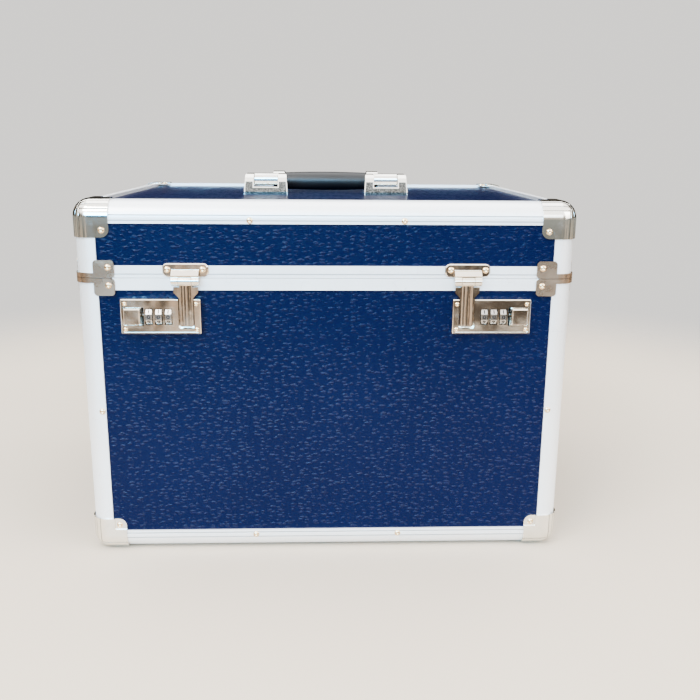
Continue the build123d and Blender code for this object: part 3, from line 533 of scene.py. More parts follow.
def panel_place(tree, flatness):
    """Place across and up a side panel, or across and back on the top, stretched by flatness."""
    source = node(tree, "ShaderNodeTexCoord").outputs
    spot, facing = split(tree, source["Object"]), split(tree, source["Normal"])
    across = blend(tree, beyond(tree, facing[0], 0.5), spot[0], spot[1])
    up = blend(tree, beyond(tree, facing[2], 0.5), spot[2], spot[1])
    return result(tree, "ShaderNodeCombineXYZ", {0: across, 1: product(tree, up, flatness)})


def drop_domes(tree, place, relief):
    """Height of the drops from 0 to 1 at a place, and a few uneven numbers for each drop."""
    drops = node(
        tree, "ShaderNodeTexVoronoi",
        {"Vector": place, "Scale": 1.0 / relief.spacing, "Randomness": 0.9},
        voronoi_dimensions="2D",
    ).outputs
    uneven = node(tree, "ShaderNodeSeparateColor", {0: drops["Color"]}).outputs
    wide = ramp(tree, uneven[0], 0.0, 1.0, *DROP_WIDTHS, smooth=False)
    inward = calc(tree, "DIVIDE", drops["Distance"], product(tree, wide, relief.share))
    return product(tree, fall(tree, inward, DROP_CREST, 1.0), wide), uneven


def embossed_plastic(finish, relief):
    """Deep blue plastic with raised water drops of uneven size, glossy on their upper flanks, their
    crests painted lighter as a highlight.
    """
    made, tree, shader = material(
        "embossed_blue_plastic", Coat_Roughness=0.12, Coat_IOR=1.5, Specular_IOR_Level=0.16
    )
    place = panel_place(tree, relief.flatness)
    wander = clouds(tree, place, WANDER_SCALE, 1.0)[1]
    bent = vector_calc(tree, "MULTIPLY_ADD", wander, (WANDER, WANDER, 0.0), place)
    dome, uneven = drop_domes(tree, bent, relief)
    rise = relief.spacing * relief.share * FLANK_STEP
    higher = vector_calc(tree, "ADD", bent, (0.0, rise, 0.0))
    upper_flank = calc(tree, "SUBTRACT", dome, drop_domes(tree, higher, relief)[0])
    specks = ramp(tree, clouds(tree, place, 1.0 / relief.speck, 2.0, 0.6)[0], 0.42, 0.66)
    height = raised(tree, dome, specks, by=SPECK_HEIGHT)
    marks = use_group(tree, handling_marks(), {"Smudge Size": 0.09, "Scratch Spacing": 0.03})
    tint = blend_colour(tree, specks, finish.panel, finish.panel_speck)
    # Painted highlight: the drops' crests take on the lighter sheen colour
    crest_highlight = blend_colour(tree, product(tree, dome, uneven[1]), tint, finish.panel_sheen)
    faded = stained(tree, crest_highlight, marks["Smudges"], share=0.18, tone=finish.panel_sheen, by=1.2)
    rough = raised(tree, 0.28, marks["Smudges"], by=0.10)
    glossy_flank = ramp(tree, upper_flank, *FLANK_SLOPES, 0.0, FLANK_GLOSS)
    glossy = calc(tree, "MAXIMUM", glossy_flank, product(tree, specks, SPECK_GLOSS))
    tree.links.new(glossy, shader.inputs["Coat Weight"])
    wire(tree, shader, faded, rough, height, relief.height)
    return made


def satin_aluminium(finish, name, along, side_along=None, shade_lines_at=()):
    """Satin anodised aluminium, its grain along the profile, with painted shade in its grooves at
    given heights.
    """
    made, tree, shader = material(name, Metallic=0.55, Specular_IOR_Level=0.5)
    tone = finish.aluminium
    spot = split(tree, object_place(tree))
    grain = use_group(tree, drawn_grain(), {"Along": along})
    lines = grain["Lines"]
    if side_along:
        on_side = beyond(tree, spot[0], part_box("lid_front_panel")[1].x - SIDE_START)
        side_grain = use_group(tree, drawn_grain(), {"Along": side_along})
        lines = blend(tree, on_side, lines, side_grain["Lines"])
    shade = stained(tree, tone, lines, share=0.25, tone=tone, by=0.80)
    for height in shade_lines_at:
        # Painted shade: a dark line at each groove's height
        off = apart(tree, spot[2], height)
        groove_shade = ramp(tree, off, GROOVE_HALF * 0.6, GROOVE_HALF * 1.4, 0.75, 0.0)
        shade = blend_colour(tree, groove_shade, shade, lighter(tone, 0.35))
    marks = use_group(tree, handling_marks(), {"Smudge Size": 0.05, "Offset": 0.3})
    worn = stained(tree, shade, marks["Scratches"], share=0.4, tone=tone, by=0.55)
    rough = raised(tree, 0.34, grain["Cloud"], by=0.16)
    wire(tree, shader, worn, rough, lines, distance=0.00003, strength=0.6)
    return made


def plated_metal(finish, name, creased=False, dull_and_shaded=None):
    """Plated metal with faint waves from pressing, smudges and fine scratches; where asked, painted
    shade in its pressed creases, and walls dulled and darkened with painted shade.
    """
    hue, roughness, offset, dents, dent_size = PLATINGS[name]
    tone = getattr(finish, hue)
    made, tree, shader = material(name, Metallic=1.0)
    marks = use_group(
        tree, handling_marks(), {"Smudge Size": 0.018, "Scratch Spacing": 0.009, "Offset": offset}
    )
    place = object_place(tree)
    height = clouds(tree, place, 1.0 / dent_size, 1.0)[0]
    hazy = stained(tree, tone, marks["Smudges"], share=0.35, tone=tone, by=0.72)
    shade = stained(tree, hazy, marks["Scratches"], share=0.35, tone=tone, by=0.45)
    if creased:
        creases = corner_creases(tree, place)
        height = raised(tree, height, creases, by=-CREASE_DEPTH / dents)
        # Painted shade: the creases darkened
        shade = stained(tree, shade, creases, share=0.55, tone=tone, by=0.2)
    rough = raised(tree, roughness, marks["Smudges"], by=0.10)
    if dull_and_shaded:
        dull_shaded_walls = dull_and_shaded(tree)
        # Painted shade: the masked walls darkened to a small share of the plating's colour
        shade = blend_colour(tree, dull_shaded_walls, shade, lighter(tone, PAINTED_SHADE_SHARE))
        rough = raised(tree, rough, dull_shaded_walls, by=DULL_ROUGHNESS)
    wire(tree, shader, shade, rough, height, dents)
    return made


def bracket_walls(tree):
    """Mask of the brackets' upright walls, dulled and darkened with painted shade, sparing their
    crowns and their edges, which stay bright as a painted highlight.
    """
    source = node(tree, "ShaderNodeTexCoord").outputs
    spot, facing = split(tree, source["Object"]), split(tree, source["Normal"])
    low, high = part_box("handle_brackets")
    near_x = min(abs(vertex.co.x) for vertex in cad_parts["handle_brackets"].data.vertices)
    middle, half = (near_x + high.x) / 2, (high.x - near_x) / 2
    off = apart(tree, calc(tree, "ABSOLUTE", spot[0]), middle)
    above = calc(tree, "SUBTRACT", spot[2], low.z)
    end = raised(tree, half, above, by=-BRACKET_LEAN / (high.z - low.z))
    from_end = calc(tree, "SUBTRACT", end, off)
    from_slot = calc(
        tree, "MAXIMUM", calc(tree, "SUBTRACT", off, SLOT_HALF),
        calc(tree, "SUBTRACT", SLOT_FLOOR, above),
    )
    inside, clear = (
        ramp(tree, gap, EDGE_SHINE * 0.6, EDGE_SHINE * 1.2) for gap in (from_end, from_slot)
    )
    under_crown = fall(tree, above, CROWN_FOOT - EDGE_SHINE, CROWN_FOOT)
    wall = ramp(tree, calc(tree, "ABSOLUTE", facing[1]), 0.3, 0.5)
    patchy = clouds(tree, source["Object"], 900.0, 3.0)[0]
    uneven = ramp(tree, patchy, 0.30, 0.62, 0.80, 1.0)
    return product(tree, inside, clear, under_crown, wall, uneven)


def corner_creases(tree, place):
    """Mask of the ball corners' pressed creases, a fixed way in from the three outer faces."""
    low, high = limits([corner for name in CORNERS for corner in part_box(name)])
    spots = split(tree, vector_calc(tree, "SUBTRACT", place, (low + high) / 2))
    depths = [
        calc(tree, "SUBTRACT", reach, calc(tree, "ABSOLUTE", spot))
        for reach, spot in zip((high - low) / 2, spots)
    ]
    lines = 0.0
    for axis in range(3):
        first, second = depths[(axis + 1) % 3], depths[(axis + 2) % 3]
        deeper = calc(tree, "MAXIMUM", first, second)
        for off, where in (
            (apart(tree, depths[axis], CREASE_IN), "GREATER_THAN"),
            (apart(tree, first, second), "LESS_THAN"),
        ):
            crease = product(
                tree, fall(tree, off, 0.0, CREASE_HALF), calc(tree, where, deeper, CREASE_IN)
            )
            lines = calc(tree, "MAXIMUM", lines, crease)
    return lines


def grained(finish, name, **constants):
    """Dark plastic, rubber or foam with fine grain and worn, paler patches."""
    hue, roughness, grain_size, depth = GRAINS[name]
    tone = getattr(finish, hue)
    made, tree, shader = material(name, **constants)
    grain = use_group(tree, fine_grain(), {"Grain Size": grain_size})
    worn = stained(tree, tone, grain["Wear"], share=0.5, tone=tone, by=2.2)
    rough = raised(tree, roughness, grain["Wear"], by=0.12)
    wire(tree, shader, worn, rough, grain["Height"], depth)
    return made


def paint(names, made):
    """Give CAD nodes a material."""
    for name in names:
        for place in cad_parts[name].material_slots:
            place.material = made


# Building blocks for meshes

def limits(points):
    """Lowest and highest corner of some points."""
    return [Vector([pick(p[axis] for p in points) for axis in range(3)]) for pick in (min, max)]


def linked(name, data):
    """A new object in the scene."""
    made = bpy.data.objects.new(name, data)
    bpy.context.collection.objects.link(made)
    return made


def plain_mesh(name, carrier, all_layers=False):
    """The mesh that an object and its modifiers make; the object is taken away."""
    graph = bpy.context.evaluated_depsgraph_get()
    mesh = bpy.data.meshes.new_from_object(
        carrier.evaluated_get(graph), preserve_all_data_layers=all_layers, depsgraph=graph
    )
    mesh.name = name
    bpy.data.objects.remove(carrier)
    return mesh


def new_piece(name, mesh, made, body, smooth=True):
    """A finished mesh in the scene, with its material, riding on a body."""
    piece = linked(name, mesh)
    if not mesh.materials:
        mesh.materials.append(made)
    if smooth:
        mesh.shade_smooth()
    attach(piece, body)
    return piece


def geometry_tree(name, wanted):
    """An empty geometry node tree with named inputs and one geometry output."""
    return node_group(
        name, "GeometryNodeTree", [("Geometry", "Geometry", None), *wanted],
        [("Geometry", "Geometry")],
    )


def finish_tree(tree, geometry, made):
    """End a geometry tree in Realize Instances, smooth shading and Set Material."""
    real = result(tree, "GeometryNodeRealizeInstances", {0: geometry})
    smooth = result(tree, "GeometryNodeSetShadeSmooth", {0: real})
    coated = result(tree, "GeometryNodeSetMaterial", {0: smooth, "Material": made})
    node(tree, "NodeGroupOutput", {0: coated})


def grown(name, source, tree, values):
    """The plain mesh that a geometry node tree makes from a source mesh."""
    carrier = linked(name + "_carrier", source)
    modifier = carrier.modifiers.new("Build", "NODES")
    modifier.node_group = tree
    for item in tree.interface.items_tree:
        if item.item_type == "SOCKET" and item.in_out == "INPUT" and item.name in values:
            modifier[item.identifier] = values[item.name]
    return plain_mesh(name, carrier, all_layers=True)


# Rivets

def rivet_places(cad_name, reach):
    """Seat, outward direction and radius of each rivet head of a CAD node."""
    clusters = []
    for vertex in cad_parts[cad_name].data.vertices:
        for cluster in clusters:
            if (cluster[0] - vertex.co).length < reach:
                cluster.append(vertex.co.copy())
                break
        else:
            clusters.append([vertex.co.copy()])
    middle = (cad_box[0] + cad_box[1]) / 2
    places = []
    for cluster in clusters:
        low, high = limits(cluster)
        span, seat = high - low, (low + high) / 2
        thin = list(span).index(min(span))
        outward = Vector((0, 0, 0))
        outward[thin] = 1 if seat[thin] > middle[thin] else -1
        seat[thin] = low[thin] if outward[thin] > 0 else high[thin]
        places.append((seat, outward, max(span) / 2))
    return places


def rivet_tree(made):
    """One dimpled dome, placed on each seat and turned to its outward direction."""
    tree = geometry_tree("Rivet heads", [
        ("Head Radius", "Float", 0.0026), ("Head Height", "Float", 0.0012),
        ("Dimple Depth", "Float", 0.0004), ("Rings", "Int", 10), ("Sectors", "Int", 24),
    ])
    source = node(tree, "NodeGroupInput").outputs
    rows, columns = (calc(tree, "ADD", source[name], 1.0) for name in ("Rings", "Sectors"))
    grid = result(
        tree, "GeometryNodeMeshGrid",
        {"Size X": 1.0, "Size Y": 1.0, "Vertices X": rows, "Vertices Y": columns},
    )
    spot = split(tree, result(tree, "GeometryNodeInputPosition"))
    out = calc(tree, "ADD", spot[0], 0.5)
    bearing = product(tree, calc(tree, "ADD", spot[1], 0.5), TURN)
    reach = product(tree, out, source["Head Radius"])
    flank = calc(tree, "SUBTRACT", 1.0, calc(tree, "POWER", out, FLANK_POWER))
    dome = product(tree, calc(tree, "POWER", flank, CROWN_POWER), source["Head Height"])
    pit = product(tree, fall(tree, out, *DIMPLE), source["Dimple Depth"])
    shaped = result(tree, "ShaderNodeCombineXYZ", {
        0: product(tree, reach, calc(tree, "COSINE", bearing)),
        1: product(tree, reach, calc(tree, "SINE", bearing)),
        2: calc(tree, "SUBTRACT", dome, pit),
    })
    bent = result(tree, "GeometryNodeSetPosition", {0: grid, "Position": shaped})
    closed = result(tree, "GeometryNodeMergeByDistance", {0: bent, "Distance": MERGE})
    outward, share = (
        result(tree, "GeometryNodeInputNamedAttribute", {"Name": name}, data_type=kind)
        for name, kind in (("outward", "FLOAT_VECTOR"), ("share", "FLOAT"))
    )
    turned = result(tree, "FunctionNodeAlignRotationToVector", {"Vector": outward}, axis="Z")
    heads = result(tree, "GeometryNodeInstanceOnPoints", {
        "Points": source["Geometry"], "Instance": closed, "Rotation": turned, "Scale": share,
    })
    finish_tree(tree, heads, made)
    return tree


class BOX_OT_rivets(bpy.types.Operator):
    """Dimpled rivet heads in place of the plain domes of the base and the lid"""

    bl_idname = "box.rivets"
    bl_label = "Rivet heads"

    def execute(self, context):
        finish, sizes = context.scene.box_finish, context.scene.box_rivets
        made = plated_metal(finish, "rivet_plating")
        tree = rivet_tree(made)
        for body in ("base", "lid"):
            places = rivet_places(f"{body}_rivets", sizes.radius * HEAD_REACH)
            seats = bpy.data.meshes.new(f"{body}_rivet_seats")
            seats.from_pydata([seat for seat, _, _ in places], [], [])
            seats.attributes.new("outward", "FLOAT_VECTOR", "POINT")
            seats.attributes.new("share", "FLOAT", "POINT")
            for index, (_, outward, radius) in enumerate(places):
                seats.attributes["outward"].data[index].vector = outward
                seats.attributes["share"].data[index].value = radius / sizes.radius
            heads = grown(f"{body}_rivet_heads", seats, tree, {
                "Head Radius": sizes.radius, "Head Height": sizes.height,
                "Dimple Depth": sizes.dimple, "Rings": sizes.rings, "Sectors": sizes.sectors,
            })
            piece = new_piece(f"{body}_rivet_heads", heads, made, body)
            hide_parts(f"{body}_rivets")
        return {"FINISHED"}


# Finishes of the CAD nodes

class BOX_OT_panels(bpy.types.Operator):
    """Embossed blue plastic on every panel"""

    bl_idname = "box.panels"
    bl_label = "Panels"

    def execute(self, context):
        paint(PANELS, embossed_plastic(context.scene.box_finish, context.scene.box_relief))
        return {"FINISHED"}


class BOX_OT_profiles(bpy.types.Operator):
    """Satin aluminium on the edge profiles, rims, posts and tray ledges"""

    bl_idname = "box.profiles"
    bl_label = "Aluminium profiles"

    def execute(self, context):
        finish = context.scene.box_finish
        along_x, along_y, along_z = (0.01, 1, 1), (1, 0.01, 1), (1, 1, 0.01)
        foot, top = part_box("base_bottom_edges")[0].z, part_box("lid_top_edges")[1].z
        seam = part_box("lid_rims")[0].z
        # Heights of the grooves, where lines of painted shade go
        grooves = [top - g for g in GROOVES] + [foot + g for g in GROOVES] + [seam + RIM_GROOVE]
        level = satin_aluminium(finish, "satin_aluminium_runs", along_x, along_y, grooves)
        upright = satin_aluminium(finish, "satin_aluminium_posts", along_z)
        paint(["base_bottom_edges", "lid_top_edges", "base_rims", "lid_rims"], level)
        paint(["base_corner_posts", "lid_corner_posts"], upright)
        paint(["tray_ledges"], satin_aluminium(finish, "satin_aluminium_ledges", along_y))
        return {"FINISHED"}


class BOX_OT_corners(bpy.types.Operator):
    """Bright plating on the ball corners and warm plating on the seam plates"""

    bl_idname = "box.corners"
    bl_label = "Ball corners and seam plates"

    def execute(self, context):
        finish = context.scene.box_finish
        paint(CORNERS, plated_metal(finish, "bright_nickel_corners", creased=True))
        plates = plated_metal(finish, "warm_nickel_plates")
        paint(["base_seam_plates", "lid_seam_plates"], plates)
        return {"FINISHED"}


class BOX_OT_latches(bpy.types.Operator):
    """Chrome on the latch plates, hasps and lock cases, and plated steel inside them"""

    bl_idname = "box.latches"
    bl_label = "Latches and locks"

    def execute(self, context):
        finish = context.scene.box_finish
        latch = plated_metal(finish, "latch_chrome")
        case = plated_metal(finish, "lock_chrome")
        steel = plated_metal(finish, "zinc_plated_steel")
        for side, _ in SIDES:
            paint([f"latch_plate_{side}", f"hasp_{side}"], latch)
            paint([f"lock_case_{side}", f"button_{side}"], case)
            paint([f"lock_spindle_{side}"], steel)
        paint(["latch_pins", "lock_back_plates", "hinge_pins", "handle_pins"], steel)
        return {"FINISHED"}


class BOX_OT_dials(bpy.types.Operator):
    """Number dials with ten painted figures on each"""

    bl_idname = "box.dials"
    bl_label = "Number dials"

    def execute(self, context):
        finish, sizes = context.scene.box_finish, context.scene.box_figures
        metal = plated_metal(finish, "dial_metal")
        ink = figure_paint(finish.figure)
        for side, _ in SIDES:
            for place in (1, 2, 3):
                dial = f"dial_{place}_{side}"
                paint([dial], metal)
                figures = dial_figures(dial, sizes)
                new_piece(f"{dial}_figures", figures, ink, dial, smooth=False)
        return {"FINISHED"}


def figure_paint(tone):
    """Black paint of the figures, rubbed thin in places."""
    made, tree, shader = material("figure_paint", Specular_IOR_Level=0.4)
    rub = clouds(tree, object_place(tree), 1800.0, 3.0)[0]
    shade = blend_colour(tree, ramp(tree, rub, 0.55, 0.8), tone, lighter(tone, 6))
    wire(tree, shader, shade, ramp(tree, rub, 0.3, 0.7, 0.4, 0.65))
    return made


def figure_outline(text, sizes):
    """Flat mesh of one figure, centred on the origin in the XY plane."""
    curve = bpy.data.curves.new("figure", "FONT")
    curve.body = text
    curve.align_x = "CENTER"
    curve.align_y = "CENTER"
    curve.size = 1.0
    curve.offset = sizes.boldness
    curve.resolution_u = 3
    mesh = plain_mesh("figure", linked("figure", curve))
    low, high = limits([vertex.co for vertex in mesh.vertices])
    size = sizes.height / (high.y - low.y)
    stretch = Matrix.Diagonal((size * sizes.width, size, size, 1))
    mesh.transform(stretch @ Matrix.Translation(-(low + high) / 2))
    return mesh


def dial_figures(dial, sizes):
    """The figures round a dial, the nought to the front, in place on its flats."""
    low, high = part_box(dial)
    middle = (low + high) / 2
    half_width = (high.x - low.x) / 2
    corner_r = max(
        Vector((0, vertex.co.y - middle.y, vertex.co.z - middle.z)).length
        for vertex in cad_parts[dial].data.vertices
        if abs(vertex.co.x - middle.x) < half_width * 0.9
    )
    flat_r = corner_r * math.cos(TURN / FIGURES / 2)
    joined = bmesh.new()
    for digit in range(FIGURES):
        mesh = figure_outline(str(digit), sizes)
        upright = Matrix.Rotation(TURN / 4, 4, "X")
        out = Matrix.Translation((0, -flat_r - sizes.paint, 0))
        turn = Matrix.Rotation(-digit * TURN / FIGURES, 4, "X")
        mesh.transform(Matrix.Translation(middle) @ turn @ out @ upright)
        joined.from_mesh(mesh)
        bpy.data.meshes.remove(mesh)
    figures = bpy.data.meshes.new(f"{dial}_figures")
    joined.to_mesh(figures)
    joined.free()
    return figures


class BOX_OT_springs(bpy.types.Operator):
    """Coiled return spring behind each button"""

    bl_idname = "box.springs"
    bl_label = "Button springs"

    def execute(self, context):
        finish, sizes = context.scene.box_finish, context.scene.box_springs
        made = plated_metal(finish, "spring_steel")
        tree = spring_tree(made)
        for side, sign in SIDES:
            low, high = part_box(f"button_spring_{side}")
            empty = bpy.data.meshes.new("spring_seat")
            coil = grown(f"spring_coil_{side}", empty, tree, {
                "Start": (low.x, (low.y + high.y) / 2, (low.z + high.z) / 2),
                "Length": high.x - low.x, "Radius": (high.z - low.z) / 2,
                "Wire Radius": sizes.wire, "Turns": sizes.turns,
            })
            piece = new_piece(f"spring_coil_{side}", coil, made, "base")
            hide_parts(f"button_spring_{side}")
            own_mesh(piece)
        return {"FINISHED"}


def spring_tree(made):
    """A coil of round wire along X."""
    tree = geometry_tree("Coil spring", [
        ("Start", "Vector", (0, 0, 0)), ("Length", "Float", 0.008), ("Radius", "Float", 0.002),
        ("Wire Radius", "Float", 0.0002), ("Turns", "Float", 8.0),
    ])
    source = node(tree, "NodeGroupInput").outputs
    middle_r = calc(tree, "SUBTRACT", source["Radius"], source["Wire Radius"])
    rise = raised(tree, source["Length"], source["Wire Radius"], by=-2.0)
    coil = result(tree, "GeometryNodeCurveSpiral", {
        "Resolution": COIL_STEPS, "Rotations": source["Turns"], "Start Radius": middle_r,
        "End Radius": middle_r, "Height": rise,
    })
    wire_ring = result(
        tree, "GeometryNodeCurvePrimitiveCircle",
        {"Resolution": WIRE_SIDES, "Radius": source["Wire Radius"]},
    )
    tube = result(tree, "GeometryNodeCurveToMesh", {0: coil, 1: wire_ring, "Fill Caps": True})
    inset = result(tree, "ShaderNodeCombineXYZ", {0: source["Wire Radius"]})
    start = vector_calc(tree, "ADD", source["Start"], inset)
    along_x = (0, TURN / 4, 0)
    laid = result(
        tree, "GeometryNodeTransform", {0: tube, "Translation": start, "Rotation": along_x}
    )
    finish_tree(tree, laid, made)
    return tree


class BOX_OT_handle(bpy.types.Operator):
    """Bright brackets with painted shade on their upright walls, bright arms, and a black rubber
    grip
    """

    bl_idname = "box.handle"
    bl_label = "Handle"

    def execute(self, context):
        finish = context.scene.box_finish
        brackets = plated_metal(finish, "cast_nickel_brackets", dull_and_shaded=bracket_walls)
        paint(["handle_brackets"], brackets)
        paint(["handle_arms"], plated_metal(finish, "bright_nickel_arms"))
        paint(["handle_grip"], grained(finish, "grip_rubber", Specular_IOR_Level=0.55))
        return {"FINISHED"}


class BOX_OT_hinges(bpy.types.Operator):
    """Bright plating on the back hinges"""

    bl_idname = "box.hinges"
    bl_label = "Back hinges"

    def execute(self, context):
        made = plated_metal(context.scene.box_finish, "hinge_nickel")
        paint(["hinge_leaves_base", "hinge_leaves_lid"], made)
        return {"FINISHED"}


# Linings

def lining_ring(half_x, half_y, corner, runs):
    """Points round a rectangle with rounded corners; runs holds the places along each side."""
    points = []
    for quarter, places in enumerate(runs):
        start = quarter * TURN / 4
        out, along = (half_x, half_y) if quarter % 2 == 0 else (half_y, half_x)
        direction = Vector((math.cos(start), math.sin(start)))
        sideways = Vector((-direction.y, direction.x))
        points += [direction * out + sideways * place for place in places]
        centre = direction * (out - corner) + sideways * (along - corner)
        for step in range(1, ARC_STEPS):
            turn = start + step / ARC_STEPS * TURN / 4
            points.append(centre + corner * Vector((math.cos(turn), math.sin(turn))))
    return points


def even_places(low, high, width, extra=()):
    """Places from low to high about a face's width apart, with some extra ones among them."""
    count = max(2, round((high - low) / width))
    even = [low + (high - low) * step / count for step in range(count + 1)]
    kept = [p for p in even if all(abs(p - place) > width / 3 for place in extra)]
    return sorted({*kept, low, high, *extra})


def lock_openings(play):
    """Limits in X, on one side, and in Z of the cut-outs for the lock backs."""
    spots = [v.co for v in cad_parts["lock_back_plates"].data.vertices]
    across = [abs(p.x) for p in spots]
    up = [p.z for p in spots]
    return (min(across) - play, max(across) + play), (min(up) - play, max(up) + play)


def lining_sheet(cad_name, sizes, openings):
    """Middle surface of a foam lining, over the walls and the closed side."""
    low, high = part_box(cad_name)
    into = sizes.thickness / 2
    half_x, half_y = high.x - into, high.y - into
    in_base = cad_name.startswith("base")
    closed, rim = (low.z + into, high.z) if in_base else (high.z - into, low.z)
    up = 1 if in_base else -1
    cut_x, cut_z = openings if in_base else ((), ())
    run_x, run_y = half_x - sizes.corner, half_y - sizes.corner
    side_run = even_places(-run_y, run_y, sizes.mesh)
    back_run = even_places(-run_x, run_x, sizes.mesh)
    cuts = [sign * x for _, sign in SIDES for x in cut_x]
    front_run = even_places(-run_x, run_x, sizes.mesh, cuts)
    runs = (side_run, back_run, side_run, front_run)
    wall_start = closed + up * sizes.fold
    levels = even_places(min(wall_start, rim), max(wall_start, rim), sizes.mesh, cut_z)
    turns = [step / ARC_STEPS * TURN / 4 for step in range(ARC_STEPS)]
    fold = [
        (sizes.fold * (1 - math.sin(turn)), closed + up * sizes.fold * (1 - math.cos(turn)))
        for turn in turns
    ]
    wall = [(0.0, z) for z in (levels if in_base else levels[::-1])]
    build = bmesh.new()
    made = []
    for inset, z in fold + wall:
        ring = lining_ring(half_x - inset, half_y - inset, sizes.corner - inset, runs)
        made.append([build.verts.new((p.x, p.y, z)) for p in ring])
    for lower, upper in zip(made[:-1], made[1:]):
        for index in range(len(lower)):
            after = (index + 1) % len(lower)
            middle = (lower[index].co + upper[after].co) / 2
            in_front = middle.y < -half_y + sizes.thickness
            if in_base and in_front and in_opening(middle, openings):
                continue
            build.faces.new((lower[index], lower[after], upper[after], upper[index]))
    bmesh.ops.triangulate(build, faces=[build.faces.new(made[0])])
    for vertex in build.verts:
        lift = (noise.noise(vertex.co * UNEVEN_SCALE) + 1) / 2 * sizes.sag
        vertex.co.x -= math.copysign(lift, vertex.co.x) * (abs(vertex.co.x) > half_x - into)
        vertex.co.y -= math.copysign(lift, vertex.co.y) * (abs(vertex.co.y) > half_y - into)
    bmesh.ops.recalc_face_normals(build, faces=build.faces)
    mesh = bpy.data.meshes.new(cad_name + "_sheet")
    build.to_mesh(mesh)
    build.free()
    return mesh


def in_opening(place, openings):
    """Whether a place on the front wall lies in a cut-out for a lock back."""
    (near, far), (foot, head) = openings
    return near < abs(place.x) < far and foot < place.z < head


def thickened(name, sheet, sizes):
    """The foam sheet with its thickness and rounded cut edges, as a plain mesh."""
    carrier = linked(name + "_carrier", sheet)
    wall = carrier.modifiers.new("Thickness", "SOLIDIFY")
    wall.thickness, wall.offset, wall.use_even_offset = sizes.thickness, 0.0, True
    rounding = carrier.modifiers.new("Rim", "BEVEL")
    rounding.width, rounding.segments, rounding.angle_limit = sizes.edge, 3, SHARP
    return plain_mesh(name, carrier)


class BOX_OT_linings(bpy.types.Operator):
    """Foam linings in place of the plain shells of the base and the lid"""

    bl_idname = "box.linings"
    bl_label = "Linings"

    def execute(self, context):
        finish, sizes = context.scene.box_finish, context.scene.box_lining
        foam = grained(finish, "lining_foam", Sheen_Weight=0.25)
        openings = lock_openings(sizes.play)
        for body in ("base", "lid"):
            cad_name = f"{body}_lining"
            mesh = thickened(f"{body}_foam", lining_sheet(cad_name, sizes, openings), sizes)
            piece = new_piece(f"{body}_foam", mesh, foam, body)
            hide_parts(cad_name)
        return {"FINISHED"}


class BOX_OT_tray(bpy.types.Operator):
    """Grained moulded plastic on the tray and its dividers"""

    bl_idname = "box.tray"
    bl_label = "Tray"

    def execute(self, context):
        paint(["tray", "tray_dividers"], grained(context.scene.box_finish, "tray_plastic"))
        return {"FINISHED"}


# Stage

def soft_light(name, place, aim, size, watts, tone):
    """A square area light that faces a point."""
    lamp = bpy.data.lights.new(name, "AREA")
    lamp.shape = "SQUARE"
    lamp.size = size
    lamp.energy = watts
    lamp.color = tone
    light = linked(name, lamp)
    light.location = place
    light.rotation_euler = (Vector(aim) - Vector(place)).to_track_quat("-Z", "Y").to_euler()


def mirrored_surroundings(tree, studio):
    """Colour and brightness of what bright metal mirrors: ground, surroundings, sky and opening."""
    way = node(tree, "ShaderNodeTexCoord").outputs["Generated"]
    across, deep, up = split(tree, way)
    bearing = calc(tree, "ARCTAN2", across, product(tree, deep, -1.0))
    stretches = result(
        tree, "ShaderNodeTexNoise", {"W": bearing, "Scale": 2.4, "Detail": 3.0, "Roughness": 0.6},
        noise_dimensions="1D",
    )
    lit = product(tree, ramp(tree, stretches, *STRETCHES), ramp(tree, deep, 0.0, 0.5, 1.0, 0.1))
    band = blend_colour(tree, lit, studio.shade, studio.horizon)
    hidden = ramp(tree, deep, -0.2, 0.5, 0.0, HIGHER_BEHIND)
    risen = ramp(tree, calc(tree, "SUBTRACT", up, hidden), *SKYLINE)
    above = blend_colour(tree, risen, band, studio.sky)
    upright = result(tree, "ShaderNodeMapping", {"Vector": way, "Scale": (1.0, 1.0, 0.4)})
    patches = ramp(tree, clouds(tree, upright, 6.5, 3.0, 0.55)[0], *PATCHES)
    near = blend_colour(tree, patches, studio.dim_ground, studio.lit_ground)
    ground = blend_colour(tree, ramp(tree, up, *NEAR_GROUND), near, studio.far_ground)
    seen = blend_colour(tree, ramp(tree, up, *GROUND), ground, above)
    open_sky = product(
        tree, ramp(tree, bearing, *OPENING_LEFT), fall(tree, bearing, *OPENING_RIGHT),
        ramp(tree, up, *OPENING_FOOT), fall(tree, up, *OPENING_HEAD),
    )
    lit_by = ramp(tree, risen, 0.0, 1.0, 1.0, studio.sky_light, smooth=False)
    return (
        blend_colour(tree, open_sky, seen, studio.opening),
        blend(tree, open_sky, lit_by, studio.opening_light),
    )


def soft_world(studio):
    """Surroundings that light the box and are mirrored in it, and the camera's plain backdrop."""
    world = bpy.data.worlds.new("soft_studio")
    bpy.context.scene.world = world
    world.use_nodes = True
    tree = world.node_tree
    light = tree.nodes["Background"]
    for label, value in zip(("Color", "Strength"), mirrored_surroundings(tree, studio)):
        tree.links.new(value, light.inputs[label])
    plain = result(
        tree, "ShaderNodeBackground",
        {"Color": rgba(studio.backdrop), "Strength": studio.backdrop_light},
    )
    by_camera = node(tree, "ShaderNodeLightPath").outputs["Is Camera Ray"]
    mixed = result(tree, "ShaderNodeMixShader", {0: by_camera, 1: light.outputs[0], 2: plain})
    tree.links.new(mixed, tree.nodes["World Output"].inputs[0])


def pale_floor(studio):
    """Round pale floor that fades out into the backdrop."""
    mesh = bpy.data.meshes.new("floor")
    sheet = bmesh.new()
    bmesh.ops.create_circle(sheet, cap_ends=True, segments=64, radius=studio.floor_reach)
    sheet.to_mesh(mesh)
    sheet.free()
    floor = linked("floor", mesh)
    made, tree, shader = material("floor_card", Roughness=0.6)
    place = object_place(tree)
    patchy = clouds(tree, place, 3.0)[0]
    wire(tree, shader, blend_colour(tree, patchy, studio.floor, lighter(studio.floor, 0.96)))
    away = node(tree, "ShaderNodeVectorMath", {0: place}, operation="LENGTH").outputs["Value"]
    fade = fall(tree, away, studio.floor_reach * 0.5, studio.floor_reach)
    tree.links.new(fade, shader.inputs["Alpha"])
    mesh.materials.append(made)


